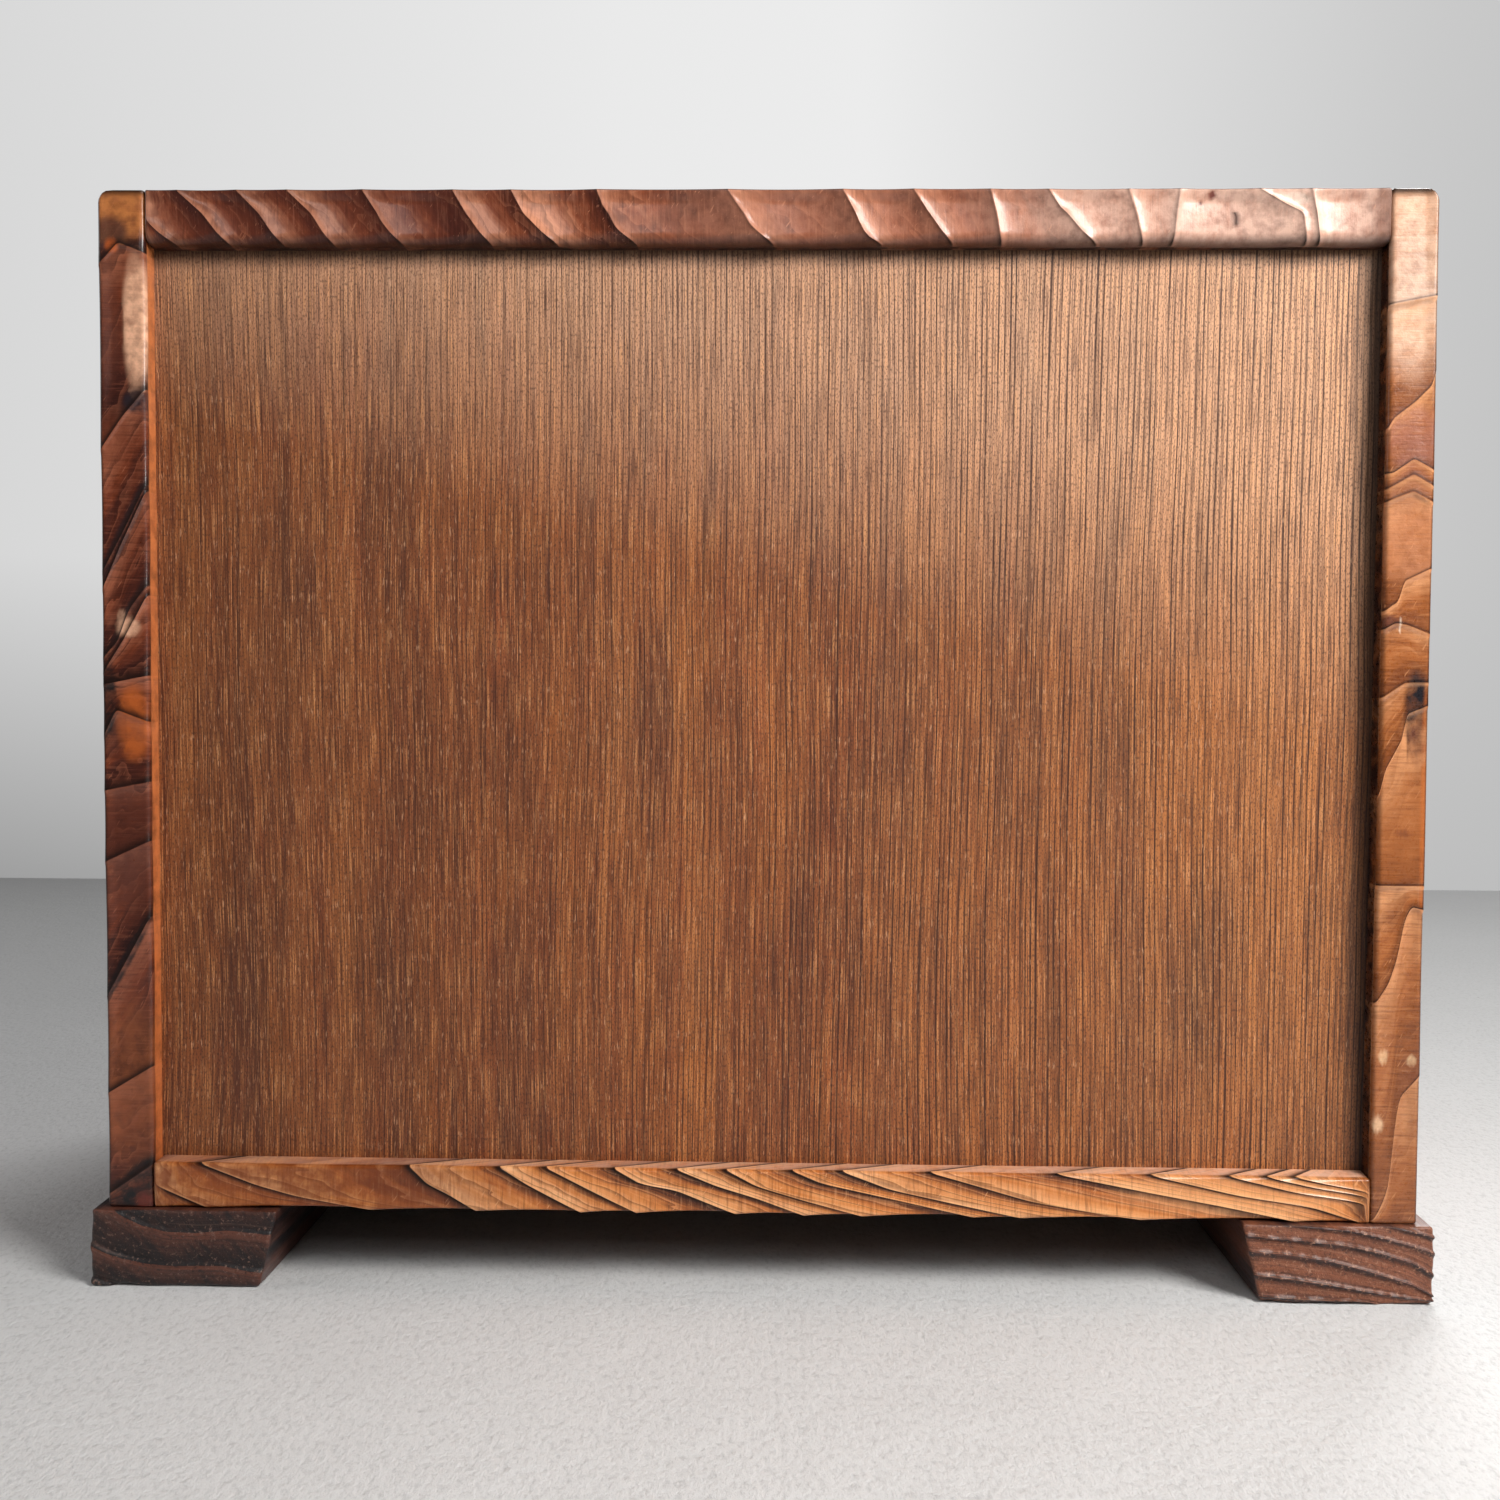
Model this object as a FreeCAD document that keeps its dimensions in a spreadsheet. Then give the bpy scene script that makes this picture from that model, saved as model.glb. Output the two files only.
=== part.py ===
"""A tabletop cabinet for tea things, in hewn cedar.

The case is four thick boards on two skids, with a thin panel let into its back.
Its front has two sliding lattice doors, three small drawers beside them and one
wide drawer below.  The front of the cabinet faces -Y, +Z is up, and the origin
is under the middle of the cabinet on the surface that it stands on.
"""
import FreeCAD, Part
import math
import os
import re
import Sketcher

Vector = FreeCAD.Vector

# Driving dimensions, in millimetres.
SIZES = {
    # The case.
    "box_width": 420,            # outside, across the side boards
    "box_height": 350,           # from the table to the top board
    "box_depth": 250,            # of the side, top and bottom boards
    "board_thick": 15,
    "corner_round": 4,           # of the case's two long upper edges
    # The skids.
    "skid_height": 25,
    "skid_top_width": 61,
    "skid_bottom_width": 55,     # the inner flank leans
    "skid_overhang": 5,          # past the side boards
    "skid_reach": 3,             # past the front and back edges
    "skid_chamfer": 1.5,
    # The gouged edges.
    "gouge_depth": 1.2,
    "gouge_pitch": 28,           # on the top and bottom boards
    "side_gouge_pitch": 36,
    "top_lean": 1,               # sideways run of a gouge for its drop
    "bottom_lean": 2.4,
    "left_lean": 0.7,            # drop of a gouge for its run across a side board
    "right_lean": 2.1,
    # The back panel.
    "panel_thick": 4,
    "panel_recess": 8,           # of its face, from the boards' back edges
    "panel_tongue": 5,           # of the panel that stands in the grooves
    # The square dowels.
    "dowel_side": 6,
    "dowel_play": 0.1,           # across a dowel in its mortise
    "dowel_in_side": 9,
    "dowel_in_end": 18,
    "dowel_in_skid": 12,
    "dowel_in_floor": 10,
    "dowel_inset": 30,           # of the outer dowels, from the boards' edges
    # The inside of the case.
    "wide_opening": 85,          # height of the wide drawer's opening
    "shelf_thick": 12,
    "shelf_setback": 3,          # behind the boards' front edges
    "small_opening": 146,        # width of the small drawers' openings
    "partition_thick": 12,
    "drawer_shelf_thick": 9,
    "dado": 3,                   # depth of the grooves that carry the shelves
    # The sliding doors.
    "door_thick": 10,
    "door_setback": 5,           # of the front door's face
    "door_gap": 2,               # between the two doors
    "door_side_gap": 0.3,
    "door_run_gap": 0.3,         # under the door's lower tongue
    "stile_width": 20,
    "rail_width": 22,
    "tongue_thick": 5,
    "track_play": 0.6,           # of a tongue in its track
    "lower_track": 3,            # depth
    "upper_track": 7,            # depth, with room to lift the door out
    "tongue_entry": 3.5,         # of the upper tongue in its track
    "shoulder_gap": 0.5,         # over the shelf
    "lift_gap": 3.2,             # under the top board
    "tenon_length": 10,
    "tenon_thick": 3,
    "tenon_inset": 6,            # from the rail's inner edge
    "tenon_margin": 2,           # from the rail's shoulder at the tongue
    "door_panel_thick": 3,
    "door_panel_inset": 5.5,     # of its face, from the door's face
    "door_panel_tongue": 4,
    "bar_count": 4,
    "bar_width": 5,
    "bar_inset": 1.5,            # of a bar's face, from the door's face
    "bar_entry": 3,              # of a bar's end in the rail
    # The finger pulls.
    "pull_width": 11,
    "pull_height": 36,
    "pull_round": 4,
    "pull_flange": 1,            # thickness
    "pull_rim": 1.4,             # of the flange, round the cup
    "pull_wall": 0.6,
    "pull_depth": 6.4,           # of the cup, outside
    "pull_play": 0.1,
    # The drawers.
    "drawer_setback": 6,
    "drawer_side_play": 0.5,
    "drawer_run_gap": 0.3,       # under the drawer
    "drawer_top_play": 0.7,
    "drawer_back_gap": 2,
    "front_thick": 12,
    "front_lip": 4,              # of the front, before its sides' ends
    "side_thick": 7,
    "side_drop": 2,              # of the sides' top edges below the front's
    "drawer_floor": 3,           # thickness
    "drawer_floor_rise": 5,
    "drawer_floor_entry": 3,     # depth of its grooves
    # The bail handles.
    "bail_spacing": 36,          # between the lugs' middles
    "bail_rod": 3,               # thickness of the square rod, and diameter of its pins
    "bail_drop": 19,             # from the pivot to the middle of the grip
    "bail_reach": 3,             # from a lug's middle to the leg beside it
    "bail_outer_bend": 4,        # radius
    "bail_inner_bend": 1,        # radius
    "bail_swell": 1.2,           # of the grip's lower edge
    "bail_stub": 0.6,            # of a pin's end, past its lug
    "bail_stand": 4.5,           # of the pivot, before the drawer's face
    "bail_raise": 8,             # of the pivot, over the middle of the drawer
    "washer_radius": 5.5,        # to a flat side
    "washer_thick": 1,
    "lug_width": 4,
    "lug_radius": 2.8,           # to a flat side of its nose
    "pin_play": 0.3,             # on the diameter of a lug's hole
}

# Places and sizes that follow from the driving dimensions.
FRONT = "(-box_depth/2)"
REAR = "(box_depth/2)"
BASE = "skid_height"
LEFT = "(-box_width/2)"
RIGHT = "(box_width/2)"
INSIDE_LEFT = "(board_thick - box_width/2)"
INSIDE_RIGHT = "(box_width/2 - board_thick)"
INSIDE_WIDTH = "(box_width - 2*board_thick)"
CASE_HEIGHT = "(box_height - skid_height)"
FLOOR_TOP = "(skid_height + board_thick)"
CEILING = "(box_height - board_thick)"
PANEL_FACE = "(box_depth/2 - panel_recess - panel_thick)"
SHELF_FRONT = "(shelf_setback - box_depth/2)"
SHELF_DEPTH = f"({PANEL_FACE} - {SHELF_FRONT})"
SHELF_BASE = f"({FLOOR_TOP} + wide_opening)"
SHELF_TOP = f"({SHELF_BASE} + shelf_thick)"
UPPER_HEIGHT = f"({CEILING} - {SHELF_TOP})"
SMALL_LEFT = f"({INSIDE_RIGHT} - small_opening)"
PARTITION_LEFT = f"({SMALL_LEFT} - partition_thick)"
SMALL_RISE = f"(({UPPER_HEIGHT} - 2*drawer_shelf_thick)/3)"
DOOR_OPENING = f"({PARTITION_LEFT} - {INSIDE_LEFT})"
DOOR_WIDTH = f"(({DOOR_OPENING} + stile_width)/2 - door_side_gap)"
DOOR_HEIGHT = f"({UPPER_HEIGHT} + lower_track - door_run_gap + tongue_entry)"
DOOR_BASE = f"({SHELF_TOP} - lower_track + door_run_gap)"
LOWER_TONGUE = "(lower_track - door_run_gap + shoulder_gap)"
UPPER_TONGUE = "(tongue_entry + lift_gap)"
DRAWER_DEPTH = f"({PANEL_FACE} - {FRONT} - drawer_setback - drawer_back_gap)"


doc = FreeCAD.newDocument("TeaCabinet")
sheet = doc.addObject("Spreadsheet::Sheet", "Sizes")
for row, (name, value) in enumerate(SIZES.items(), start=1):
    sheet.set(f"A{row}", name)
    sheet.set(f"B{row}", str(value))
    sheet.setAlias(f"B{row}", name)
doc.recompute()

pieces = []


def formula(text):
    """Make each word that names a size into a reference to its cell."""
    return re.sub(r"[a-z_]+", lambda word: ("Sizes." if word[0] in SIZES else "") + word[0], text)


def bind(item, field, text):
    """Tie a property to the sheet."""
    item.setExpression(field, formula(text))


def number(text):
    """The present value of an expression."""
    return float(sheet.evalExpression(formula(text)))


def new_body(label, place=("0", "0", "0")):
    """An empty body whose own origin stands at the given place."""
    body = doc.addObject("PartDesign::Body", label)
    body.Label = label
    for axis, text in zip("xyz", place):
        bind(body, f"Placement.Base.{axis}", text)
    pieces.append(body)
    return body


def datum(body, role):
    """One of the body's own origin planes or axes."""
    return next(item for item in body.Origin.OriginFeatures if item.Role == role)


def sketch_on(body, name, role, offset="0"):
    """An empty sketch on an origin plane, moved along the plane's normal."""
    sketch = body.newObject("Sketcher::SketchObject", name)
    sketch.AttachmentSupport = [(datum(body, role), "")]
    sketch.MapMode = "FlatFace"
    bind(sketch, "AttachmentOffset.Base.z", offset)
    return sketch


def arc_between(start, end, radius, bulge):
    """The short arc of this radius between two points, swelling towards the bulge."""
    chord = end - start
    across = Vector(-chord.y, chord.x, 0).normalize()
    if across.dot(Vector(*bulge, 0)) < 0:
        across = across * -1
    rise = radius - math.sqrt(max(radius**2 - chord.Length**2/4, 0))
    return Part.Arc(start, (start + end)*0.5 + across*rise, end)


def constrain(sketch, kind, *where, text):
    """Add a dimension to a sketch and tie it to the sheet."""
    index = sketch.addConstraint(Sketcher.Constraint(kind, *where, number(text)))
    sketch.setExpression(f"Constraints[{index}]", formula(text))


def draw(sketch, corners, arcs=None, closed=True):
    """Draw an outline through the corners.

    A side that is numbered in arcs is an arc of the given radius and bulge.
    """
    arcs = arcs or {}
    points = [Vector(number(x), number(y), 0) for x, y in corners]
    sides = len(points) if closed else len(points) - 1
    ends = []
    for side in range(sides):
        start, end = points[side], points[(side + 1) % len(points)]
        first, last = 1, 2
        if side in arcs:
            radius, bulge = arcs[side]
            curve = arc_between(start, end, number(radius), bulge)
            index = sketch.addGeometry(curve, False)
            if (sketch.getPoint(index, 1) - start).Length > (sketch.getPoint(index, 2) - start).Length:
                first, last = 2, 1
            constrain(sketch, "Radius", index, text=radius)
        else:
            index = sketch.addGeometry(Part.LineSegment(start, end), False)
        ends.append((index, first, last))
    for side in range(sides if closed else sides - 1):
        index, _, last = ends[side]
        following, first, _ = ends[(side + 1) % sides]
        sketch.addConstraint(Sketcher.Constraint("Coincident", index, last, following, first))
    for corner, (x, y) in enumerate(corners):
        if corner < sides:
            index, point, _ = ends[corner]
        else:
            index, _, point = ends[-1]
        constrain(sketch, "DistanceX", -1, 1, index, point, text=x)
        constrain(sketch, "DistanceY", -1, 1, index, point, text=y)
    return sketch


def circle(sketch, x, y, radius):
    """A full circle."""
    centre = Vector(number(x), number(y), 0)
    index = sketch.addGeometry(Part.Circle(centre, Vector(0, 0, 1), number(radius)), False)
    constrain(sketch, "Radius", index, text=radius)
    constrain(sketch, "DistanceX", -1, 1, index, 3, text=x)
    constrain(sketch, "DistanceY", -1, 1, index, 3, text=y)
    return sketch


def rectangle(sketch, x, y, width, height):
    """A rectangle from its lower left corner."""
    right = f"{x} + {width}"
    top = f"{y} + {height}"
    return draw(sketch, [(x, y), (right, y), (right, top), (x, top)])


def rounded_rectangle(sketch, x, y, width, height, radius):
    """A rectangle with rounded corners, centred on a point."""
    half, tall = f"({width})/2", f"({height})/2"
    left, right = f"{x} - {half}", f"{x} + {half}"
    low, high = f"{y} - {tall}", f"{y} + {tall}"
    corners = [(f"{left} + {radius}", low), (f"{right} - {radius}", low),
               (right, f"{low} + {radius}"), (right, f"{high} - {radius}"),
               (f"{right} - {radius}", high), (f"{left} + {radius}", high),
               (left, f"{high} - {radius}"), (left, f"{low} + {radius}")]
    arcs = {1: (radius, (1, -1)), 3: (radius, (1, 1)), 5: (radius, (-1, 1)), 7: (radius, (-1, -1))}
    return draw(sketch, corners, arcs)


def pad(body, name, sketch, length):
    """Raise a solid from a sketch, along the sketch's normal."""
    feature = body.newObject("PartDesign::Pad", name)
    feature.Profile = sketch
    bind(feature, "Length", length)
    sketch.Visibility = False
    return feature


def pocket(body, name, sketch, length):
    """Cut a sketch into the body, against the sketch's normal."""
    feature = body.newObject("PartDesign::Pocket", name)
    feature.Profile = sketch
    bind(feature, "Length", length)
    sketch.Visibility = False
    return feature


def add_box(body, name, corner, size):
    """Add a box-shaped piece of wood to a body."""
    sketch = sketch_on(body, f"{name}Outline", "XY_Plane", corner[2])
    rectangle(sketch, corner[0], corner[1], size[0], size[1])
    return pad(body, name, sketch, size[2])


def cut_box(body, name, corner, size):
    """Cut a box-shaped groove, housing or mortise."""
    sketch = sketch_on(body, f"{name}Outline", "XY_Plane", f"{corner[2]} + {size[2]}")
    rectangle(sketch, corner[0], corner[1], size[0], size[1])
    return pocket(body, name, sketch, size[2])


def repeat(body, name, features, axis, length, count):
    """Repeat features along one of the body's axes."""
    pattern = body.newObject("PartDesign::LinearPattern", name)
    pattern.Originals = features
    pattern.Direction = (datum(body, axis), [""])
    bind(pattern, "Length", length)
    bind(pattern, "Occurrences", count)
    body.Tip = pattern
    return pattern


def board(label, corner, size, place=("0", "0", "0")):
    """A plain rectangular board."""
    body = new_body(label, place)
    add_box(body, "Board", corner, size)
    return body


# ---------------------------------------------------------------- the case


def gouge(body, upright, origin, reach, pitch, lean):
    """Hew the back and front edges of a board with slanting gouge cuts.

    Each cut is drawn square to its own run, on a plane tilted by the lean, and
    starts clear of the board.  The origin is where the first cut starts.
    """
    chord = f"({pitch}/sqrt(1 + {lean}^2))"
    radius = f"(({chord}^2/4 + gouge_depth^2)/(2*gouge_depth))"
    length = f"(board_thick + 2 + {pitch}*{lean}/(1 + {lean}^2))*sqrt(1 + {lean}^2)"
    count = f"ceil(({reach} + {lean}*(board_thick + 2))/{pitch})"
    for name, face, outward in (("Back", REAR, 1), ("Front", FRONT, -1)):
        sketch = sketch_on(body, f"{name}GougeOutline", "YZ_Plane" if upright else "XY_Plane")
        tilt_axis = Vector(1, 0, 0) if upright else Vector(0, 1, 0)
        sketch.AttachmentOffset = FreeCAD.Placement(Vector(), FreeCAD.Rotation(tilt_axis, 45))
        bind(sketch, "AttachmentOffset.Rotation.Angle", f"atan({lean})")
        for axis, text in zip("xyz", origin):
            bind(sketch, f"AttachmentOffset.Base.{axis}", text)
        outside = f"{face} + {outward}"
        corners = [("0", face), (chord, face), (chord, outside), ("0", outside)]
        bulge = (0, -outward)
        if upright:
            corners = [(across, along) for along, across in corners]
            bulge = (-outward, 0)
        draw(sketch, corners, {0: (radius, bulge)})
        cut = pocket(body, f"{name}Gouge", sketch, length)
        axis = "Z_Axis" if upright else "X_Axis"
        repeat(body, f"{name}Gouges", [cut], axis, f"({count} - 1)*{pitch}", count)


def gouge_level(body, base, lean):
    """Hew the top or bottom board."""
    clear = f"{base} + board_thick + 1 + gouge_pitch*{lean}/(1 + {lean}^2)"
    gouge(body, False, (INSIDE_LEFT, "0", clear), INSIDE_WIDTH, "gouge_pitch", lean)


def gouge_upright(body, left, lean):
    """Hew a side board."""
    start = f"{BASE} - {lean}*(board_thick + 2)"
    gouge(body, True, ("0", start, f"{left} + board_thick + 1"), CASE_HEIGHT, "side_gouge_pitch", lean)


PANEL_CORNER = (f"{INSIDE_LEFT} - panel_tongue", PANEL_FACE, f"{FLOOR_TOP} - panel_tongue")
PANEL_SIZE = (f"{INSIDE_WIDTH} + 2*panel_tongue", "panel_thick", f"{CEILING} - {FLOOR_TOP} + 2*panel_tongue")

SHELF_CORNER = (f"{INSIDE_LEFT} - dado", SHELF_FRONT, SHELF_BASE)
SHELF_SIZE = (f"{INSIDE_WIDTH} + 2*dado", SHELF_DEPTH, "shelf_thick")

PARTITION_CORNER = (PARTITION_LEFT, SHELF_FRONT, f"{SHELF_TOP} - dado")
PARTITION_SIZE = ("partition_thick", SHELF_DEPTH, f"{UPPER_HEIGHT} + 2*dado")

DOWELS_IN_A_ROW = "2"
DOWEL_SPAN = "(box_depth - 2*dowel_inset)"
SKID_DOWEL_X = "(box_width/2 - board_thick - dowel_in_end - 1.5*dowel_side)"
MORTISE = "(dowel_side + dowel_play)"
MORTISE_FRONT = f"({FRONT} + dowel_inset - {MORTISE}/2)"


def drawer_shelf_box(level):
    """The corner and size of a shelf between two small drawers, counted from below."""
    base = f"{SHELF_TOP} + {level}*{SMALL_RISE} + {level - 1}*drawer_shelf_thick"
    corner = (f"{SMALL_LEFT} - dado", SHELF_FRONT, base)
    size = ("small_opening + 2*dado", SHELF_DEPTH, "drawer_shelf_thick")
    return corner, size


def sink_across(body, name, start, height, depth):
    """Sink a row of level mortises towards -X for the dowels of a corner."""
    corner = (f"{start} - {depth}", MORTISE_FRONT, f"{height} - {MORTISE}/2")
    mortise = cut_box(body, name, corner, (depth, MORTISE, MORTISE))
    repeat(body, f"{name}s", [mortise], "Y_Axis", DOWEL_SPAN, DOWELS_IN_A_ROW)


def sink_side(body, start):
    """Sink a side board's inner face for the dowels of the top and bottom boards."""
    for name, base in (("TopMortise", CEILING), ("BottomMortise", BASE)):
        sink_across(body, name, start, f"{base} + board_thick/2", "dowel_in_side")


def sink_ends(body, base):
    """Sink both ends of a level board for its dowels."""
    for name, start in (("LeftMortise", f"{INSIDE_LEFT} + dowel_in_end"), ("RightMortise", INSIDE_RIGHT)):
        sink_across(body, name, start, f"{base} + board_thick/2", "dowel_in_end")


def sink_down(body, name, x, top, depth):
    """Sink a pair of upright mortises for the dowels of a skid."""
    corner = (f"{x} - {MORTISE}/2", MORTISE_FRONT, f"{top} - {depth}")
    mortise = cut_box(body, name, corner, (MORTISE, MORTISE, depth))
    repeat(body, f"{name}s", [mortise], "Y_Axis", DOWEL_SPAN, DOWELS_IN_A_ROW)


def side_board(label, left, round_x):
    """A side board that runs the full height, grooved for the panel and the shelf."""
    body = board(label, (left, FRONT, BASE), ("board_thick", "box_depth", CASE_HEIGHT))
    doc.recompute()
    base = body.Tip
    upper_edge = next(
        f"Edge{index}" for index, edge in enumerate(base.Shape.Edges, start=1)
        if abs(edge.CenterOfMass.x - number(round_x)) < 0.01
        and abs(edge.CenterOfMass.z - number("box_height")) < 0.01)
    rounding = body.newObject("PartDesign::Fillet", "UpperEdge")
    rounding.Base = (base, [upper_edge])
    bind(rounding, "Radius", "corner_round")
    cut_box(body, "PanelGroove", PANEL_CORNER, PANEL_SIZE)
    cut_box(body, "ShelfHousing", SHELF_CORNER, SHELF_SIZE)
    return body


def level_board(label, base):
    """The top or bottom board, between the side boards."""
    body = board(label, (INSIDE_LEFT, FRONT, base), (INSIDE_WIDTH, "box_depth", "board_thick"))
    cut_box(body, "PanelGroove", PANEL_CORNER, PANEL_SIZE)
    sink_ends(body, base)
    return body


def skid(label, side):
    """A runner from front to back with a leaning inner flank; side is -1 or 1."""
    body = new_body(label)
    sketch = sketch_on(body, "Section", "XZ_Plane", "box_depth/2 + skid_reach")
    outer = f"{side}*(box_width/2 + skid_overhang)"
    top_inner = f"{outer} - {side}*skid_top_width"
    bottom_inner = f"{outer} - {side}*skid_bottom_width"
    corners = [(f"{outer} - {side}*skid_chamfer", "0"), (f"{bottom_inner} + {side}*skid_chamfer", "0"),
               (bottom_inner, "skid_chamfer"), (top_inner, "skid_height"),
               (outer, "skid_height"), (outer, "skid_chamfer")]
    draw(sketch, corners)
    length = pad(body, "Runner", sketch, "box_depth + 2*skid_reach")
    length.Reversed = True
    sink_down(body, "DowelMortise", f"{side}*{SKID_DOWEL_X}", "skid_height", "dowel_in_skid")
    return body


def track(body, name, door_face, base, depth):
    """A door's track, from the side board to the partition."""
    y = f"{door_face} + (door_thick - tongue_thick - track_play)/2"
    cut_box(body, name, (INSIDE_LEFT, y, base), (DOOR_OPENING, "tongue_thick + track_play", depth))


FRONT_DOOR_Y = "(door_setback - box_depth/2)"
REAR_DOOR_Y = "(door_setback - box_depth/2 + door_thick + door_gap)"


def dowels(label, corners, size):
    """Loose square dowels in one sub-part, each from its lowest corner."""
    pegs = []
    for corner in corners:
        peg = doc.addObject("Part::Box", "Dowel")
        for field, text in zip(("Length", "Width", "Height"), size):
            bind(peg, field, text)
        for axis, text in zip("xyz", corner):
            bind(peg, f"Placement.Base.{axis}", text)
        pegs.append(peg)
    group = doc.addObject("Part::Compound", label)
    group.Label = label
    group.Links = pegs
    pieces.append(group)
    return group


def case():
    """The boards, skids, shelves and panel that stand still."""
    left = side_board("left_side_board", LEFT, LEFT)
    sink_side(left, INSIDE_LEFT)
    gouge_upright(left, LEFT, "left_lean")
    right = side_board("right_side_board", INSIDE_RIGHT, RIGHT)
    sink_side(right, f"{INSIDE_RIGHT} + dowel_in_side")
    for level in (1, 2):
        cut_box(right, f"DrawerShelfHousing{level}", *drawer_shelf_box(level))
    gouge_upright(right, INSIDE_RIGHT, "right_lean")

    top = level_board("top_board", CEILING)
    track(top, "FrontTrack", FRONT_DOOR_Y, CEILING, "upper_track")
    track(top, "RearTrack", REAR_DOOR_Y, CEILING, "upper_track")
    cut_box(top, "PartitionHousing", PARTITION_CORNER, PARTITION_SIZE)
    gouge_level(top, CEILING, "top_lean")

    bottom = level_board("bottom_board", BASE)
    for name, side in (("LeftSkidMortise", -1), ("RightSkidMortise", 1)):
        sink_down(bottom, name, f"{side}*{SKID_DOWEL_X}", f"{BASE} + dowel_in_floor", "dowel_in_floor")
    gouge_level(bottom, BASE, "bottom_lean")

    skid("left_skid", -1)
    skid("right_skid", 1)
    board("back_panel", PANEL_CORNER, PANEL_SIZE)

    shelf = board("middle_shelf", SHELF_CORNER, SHELF_SIZE)
    track(shelf, "FrontTrack", FRONT_DOOR_Y, f"{SHELF_TOP} - lower_track", "lower_track")
    track(shelf, "RearTrack", REAR_DOOR_Y, f"{SHELF_TOP} - lower_track", "lower_track")
    cut_box(shelf, "PartitionHousing", PARTITION_CORNER, PARTITION_SIZE)

    partition = board("upper_partition", PARTITION_CORNER, PARTITION_SIZE)
    for level, label in ((1, "lower_drawer_shelf"), (2, "upper_drawer_shelf")):
        board(label, *drawer_shelf_box(level))
        cut_box(partition, f"DrawerShelfHousing{level}", *drawer_shelf_box(level))

    rows = (f"{FRONT} + dowel_inset - dowel_side/2", f"{REAR} - dowel_inset - dowel_side/2")
    levels = (f"{BASE} + (board_thick - dowel_side)/2", f"{CEILING} + (board_thick - dowel_side)/2")
    starts = (f"{INSIDE_LEFT} - dowel_in_side", f"{INSIDE_RIGHT} - dowel_in_end")
    corners = [(x, y, z) for x in starts for z in levels for y in rows]
    dowels("case_dowels", corners, ("dowel_in_side + dowel_in_end", "dowel_side", "dowel_side"))
    corners = [(f"{side}*{SKID_DOWEL_X} - dowel_side/2", y, "skid_height - dowel_in_skid")
               for side in (-1, 1) for y in rows]
    dowels("skid_dowels", corners, ("dowel_side", "dowel_side", "dowel_in_skid + dowel_in_floor"))


# ---------------------------------------------------------------- the sliding doors

TONGUE_FRONT = "((door_thick - tongue_thick)/2)"
TONGUE_BACK = "((door_thick + tongue_thick)/2)"
DOOR_FACE_TOP = f"({DOOR_HEIGHT} - {UPPER_TONGUE})"
RAIL_LENGTH = f"({DOOR_WIDTH} - 2*stile_width)"
LOWER_RAIL_TOP = f"({LOWER_TONGUE} + rail_width)"
UPPER_RAIL_BASE = f"({DOOR_FACE_TOP} - rail_width)"
DOOR_PANEL_CORNER = ("stile_width - door_panel_tongue", "door_panel_inset",
                     f"{LOWER_RAIL_TOP} - door_panel_tongue")
DOOR_PANEL_SIZE = (f"{RAIL_LENGTH} + 2*door_panel_tongue", "door_panel_thick",
                   f"{UPPER_RAIL_BASE} - {LOWER_RAIL_TOP} + 2*door_panel_tongue")
BAR_PITCH = f"({RAIL_LENGTH}/(bar_count + 1))"
BAR_CORNER = (f"stile_width + {BAR_PITCH} - bar_width/2", "bar_inset", f"{LOWER_RAIL_TOP} - bar_entry")
BAR_SIZE = ("bar_width", "door_panel_inset - bar_inset",
            f"{UPPER_RAIL_BASE} - {LOWER_RAIL_TOP} + 2*bar_entry")
LOWER_TENON = f"({LOWER_TONGUE} + tenon_margin)"
UPPER_TENON = f"({UPPER_RAIL_BASE} + tenon_inset)"
TENON_WIDTH = "(rail_width - tenon_inset - tenon_margin)"

LOWER_STEPS = [("0", LOWER_TONGUE), (TONGUE_FRONT, LOWER_TONGUE), (TONGUE_FRONT, "0"),
               (TONGUE_BACK, "0"), (TONGUE_BACK, LOWER_TONGUE), ("door_thick", LOWER_TONGUE)]
UPPER_STEPS = [("door_thick", DOOR_FACE_TOP), (TONGUE_BACK, DOOR_FACE_TOP), (TONGUE_BACK, DOOR_HEIGHT),
               (TONGUE_FRONT, DOOR_HEIGHT), (TONGUE_FRONT, DOOR_FACE_TOP), ("0", DOOR_FACE_TOP)]


def door_bar(label, place, left, width, section):
    """A stile or rail: its section from front to back, carried across the door."""
    body = new_body(label, place)
    sketch = sketch_on(body, "Section", "YZ_Plane", left)
    draw(sketch, section)
    pad(body, "Bar", sketch, width)
    return body


def stile(label, place, left, mortise_left):
    """An upright of a door, tongued at both ends, grooved and mortised for the rails."""
    body = door_bar(label, place, left, "stile_width", LOWER_STEPS + UPPER_STEPS)
    cut_box(body, "PanelGroove", DOOR_PANEL_CORNER, DOOR_PANEL_SIZE)
    for name, base in (("LowerMortise", LOWER_TENON), ("UpperMortise", UPPER_TENON)):
        corner = (mortise_left, "(door_thick - tenon_thick)/2", base)
        cut_box(body, name, corner, ("tenon_length", "tenon_thick", TENON_WIDTH))
    return body


def rail(label, place, section, tenon_base):
    """A cross-piece of a door, with a tenon at each end and housings for the bars."""
    body = door_bar(label, place, "stile_width", RAIL_LENGTH, section)
    for name, left in (("LeftTenon", "stile_width - tenon_length"),
                       ("RightTenon", f"{DOOR_WIDTH} - stile_width")):
        corner = (left, "(door_thick - tenon_thick)/2", tenon_base)
        add_box(body, name, corner, ("tenon_length", "tenon_thick", TENON_WIDTH))
    cut_box(body, "PanelGroove", DOOR_PANEL_CORNER, DOOR_PANEL_SIZE)
    housing = cut_box(body, "BarHousing", BAR_CORNER, BAR_SIZE)
    repeat(body, "BarHousings", [housing], "X_Axis", f"(bar_count - 1)*{BAR_PITCH}", "bar_count")
    return body


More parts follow.
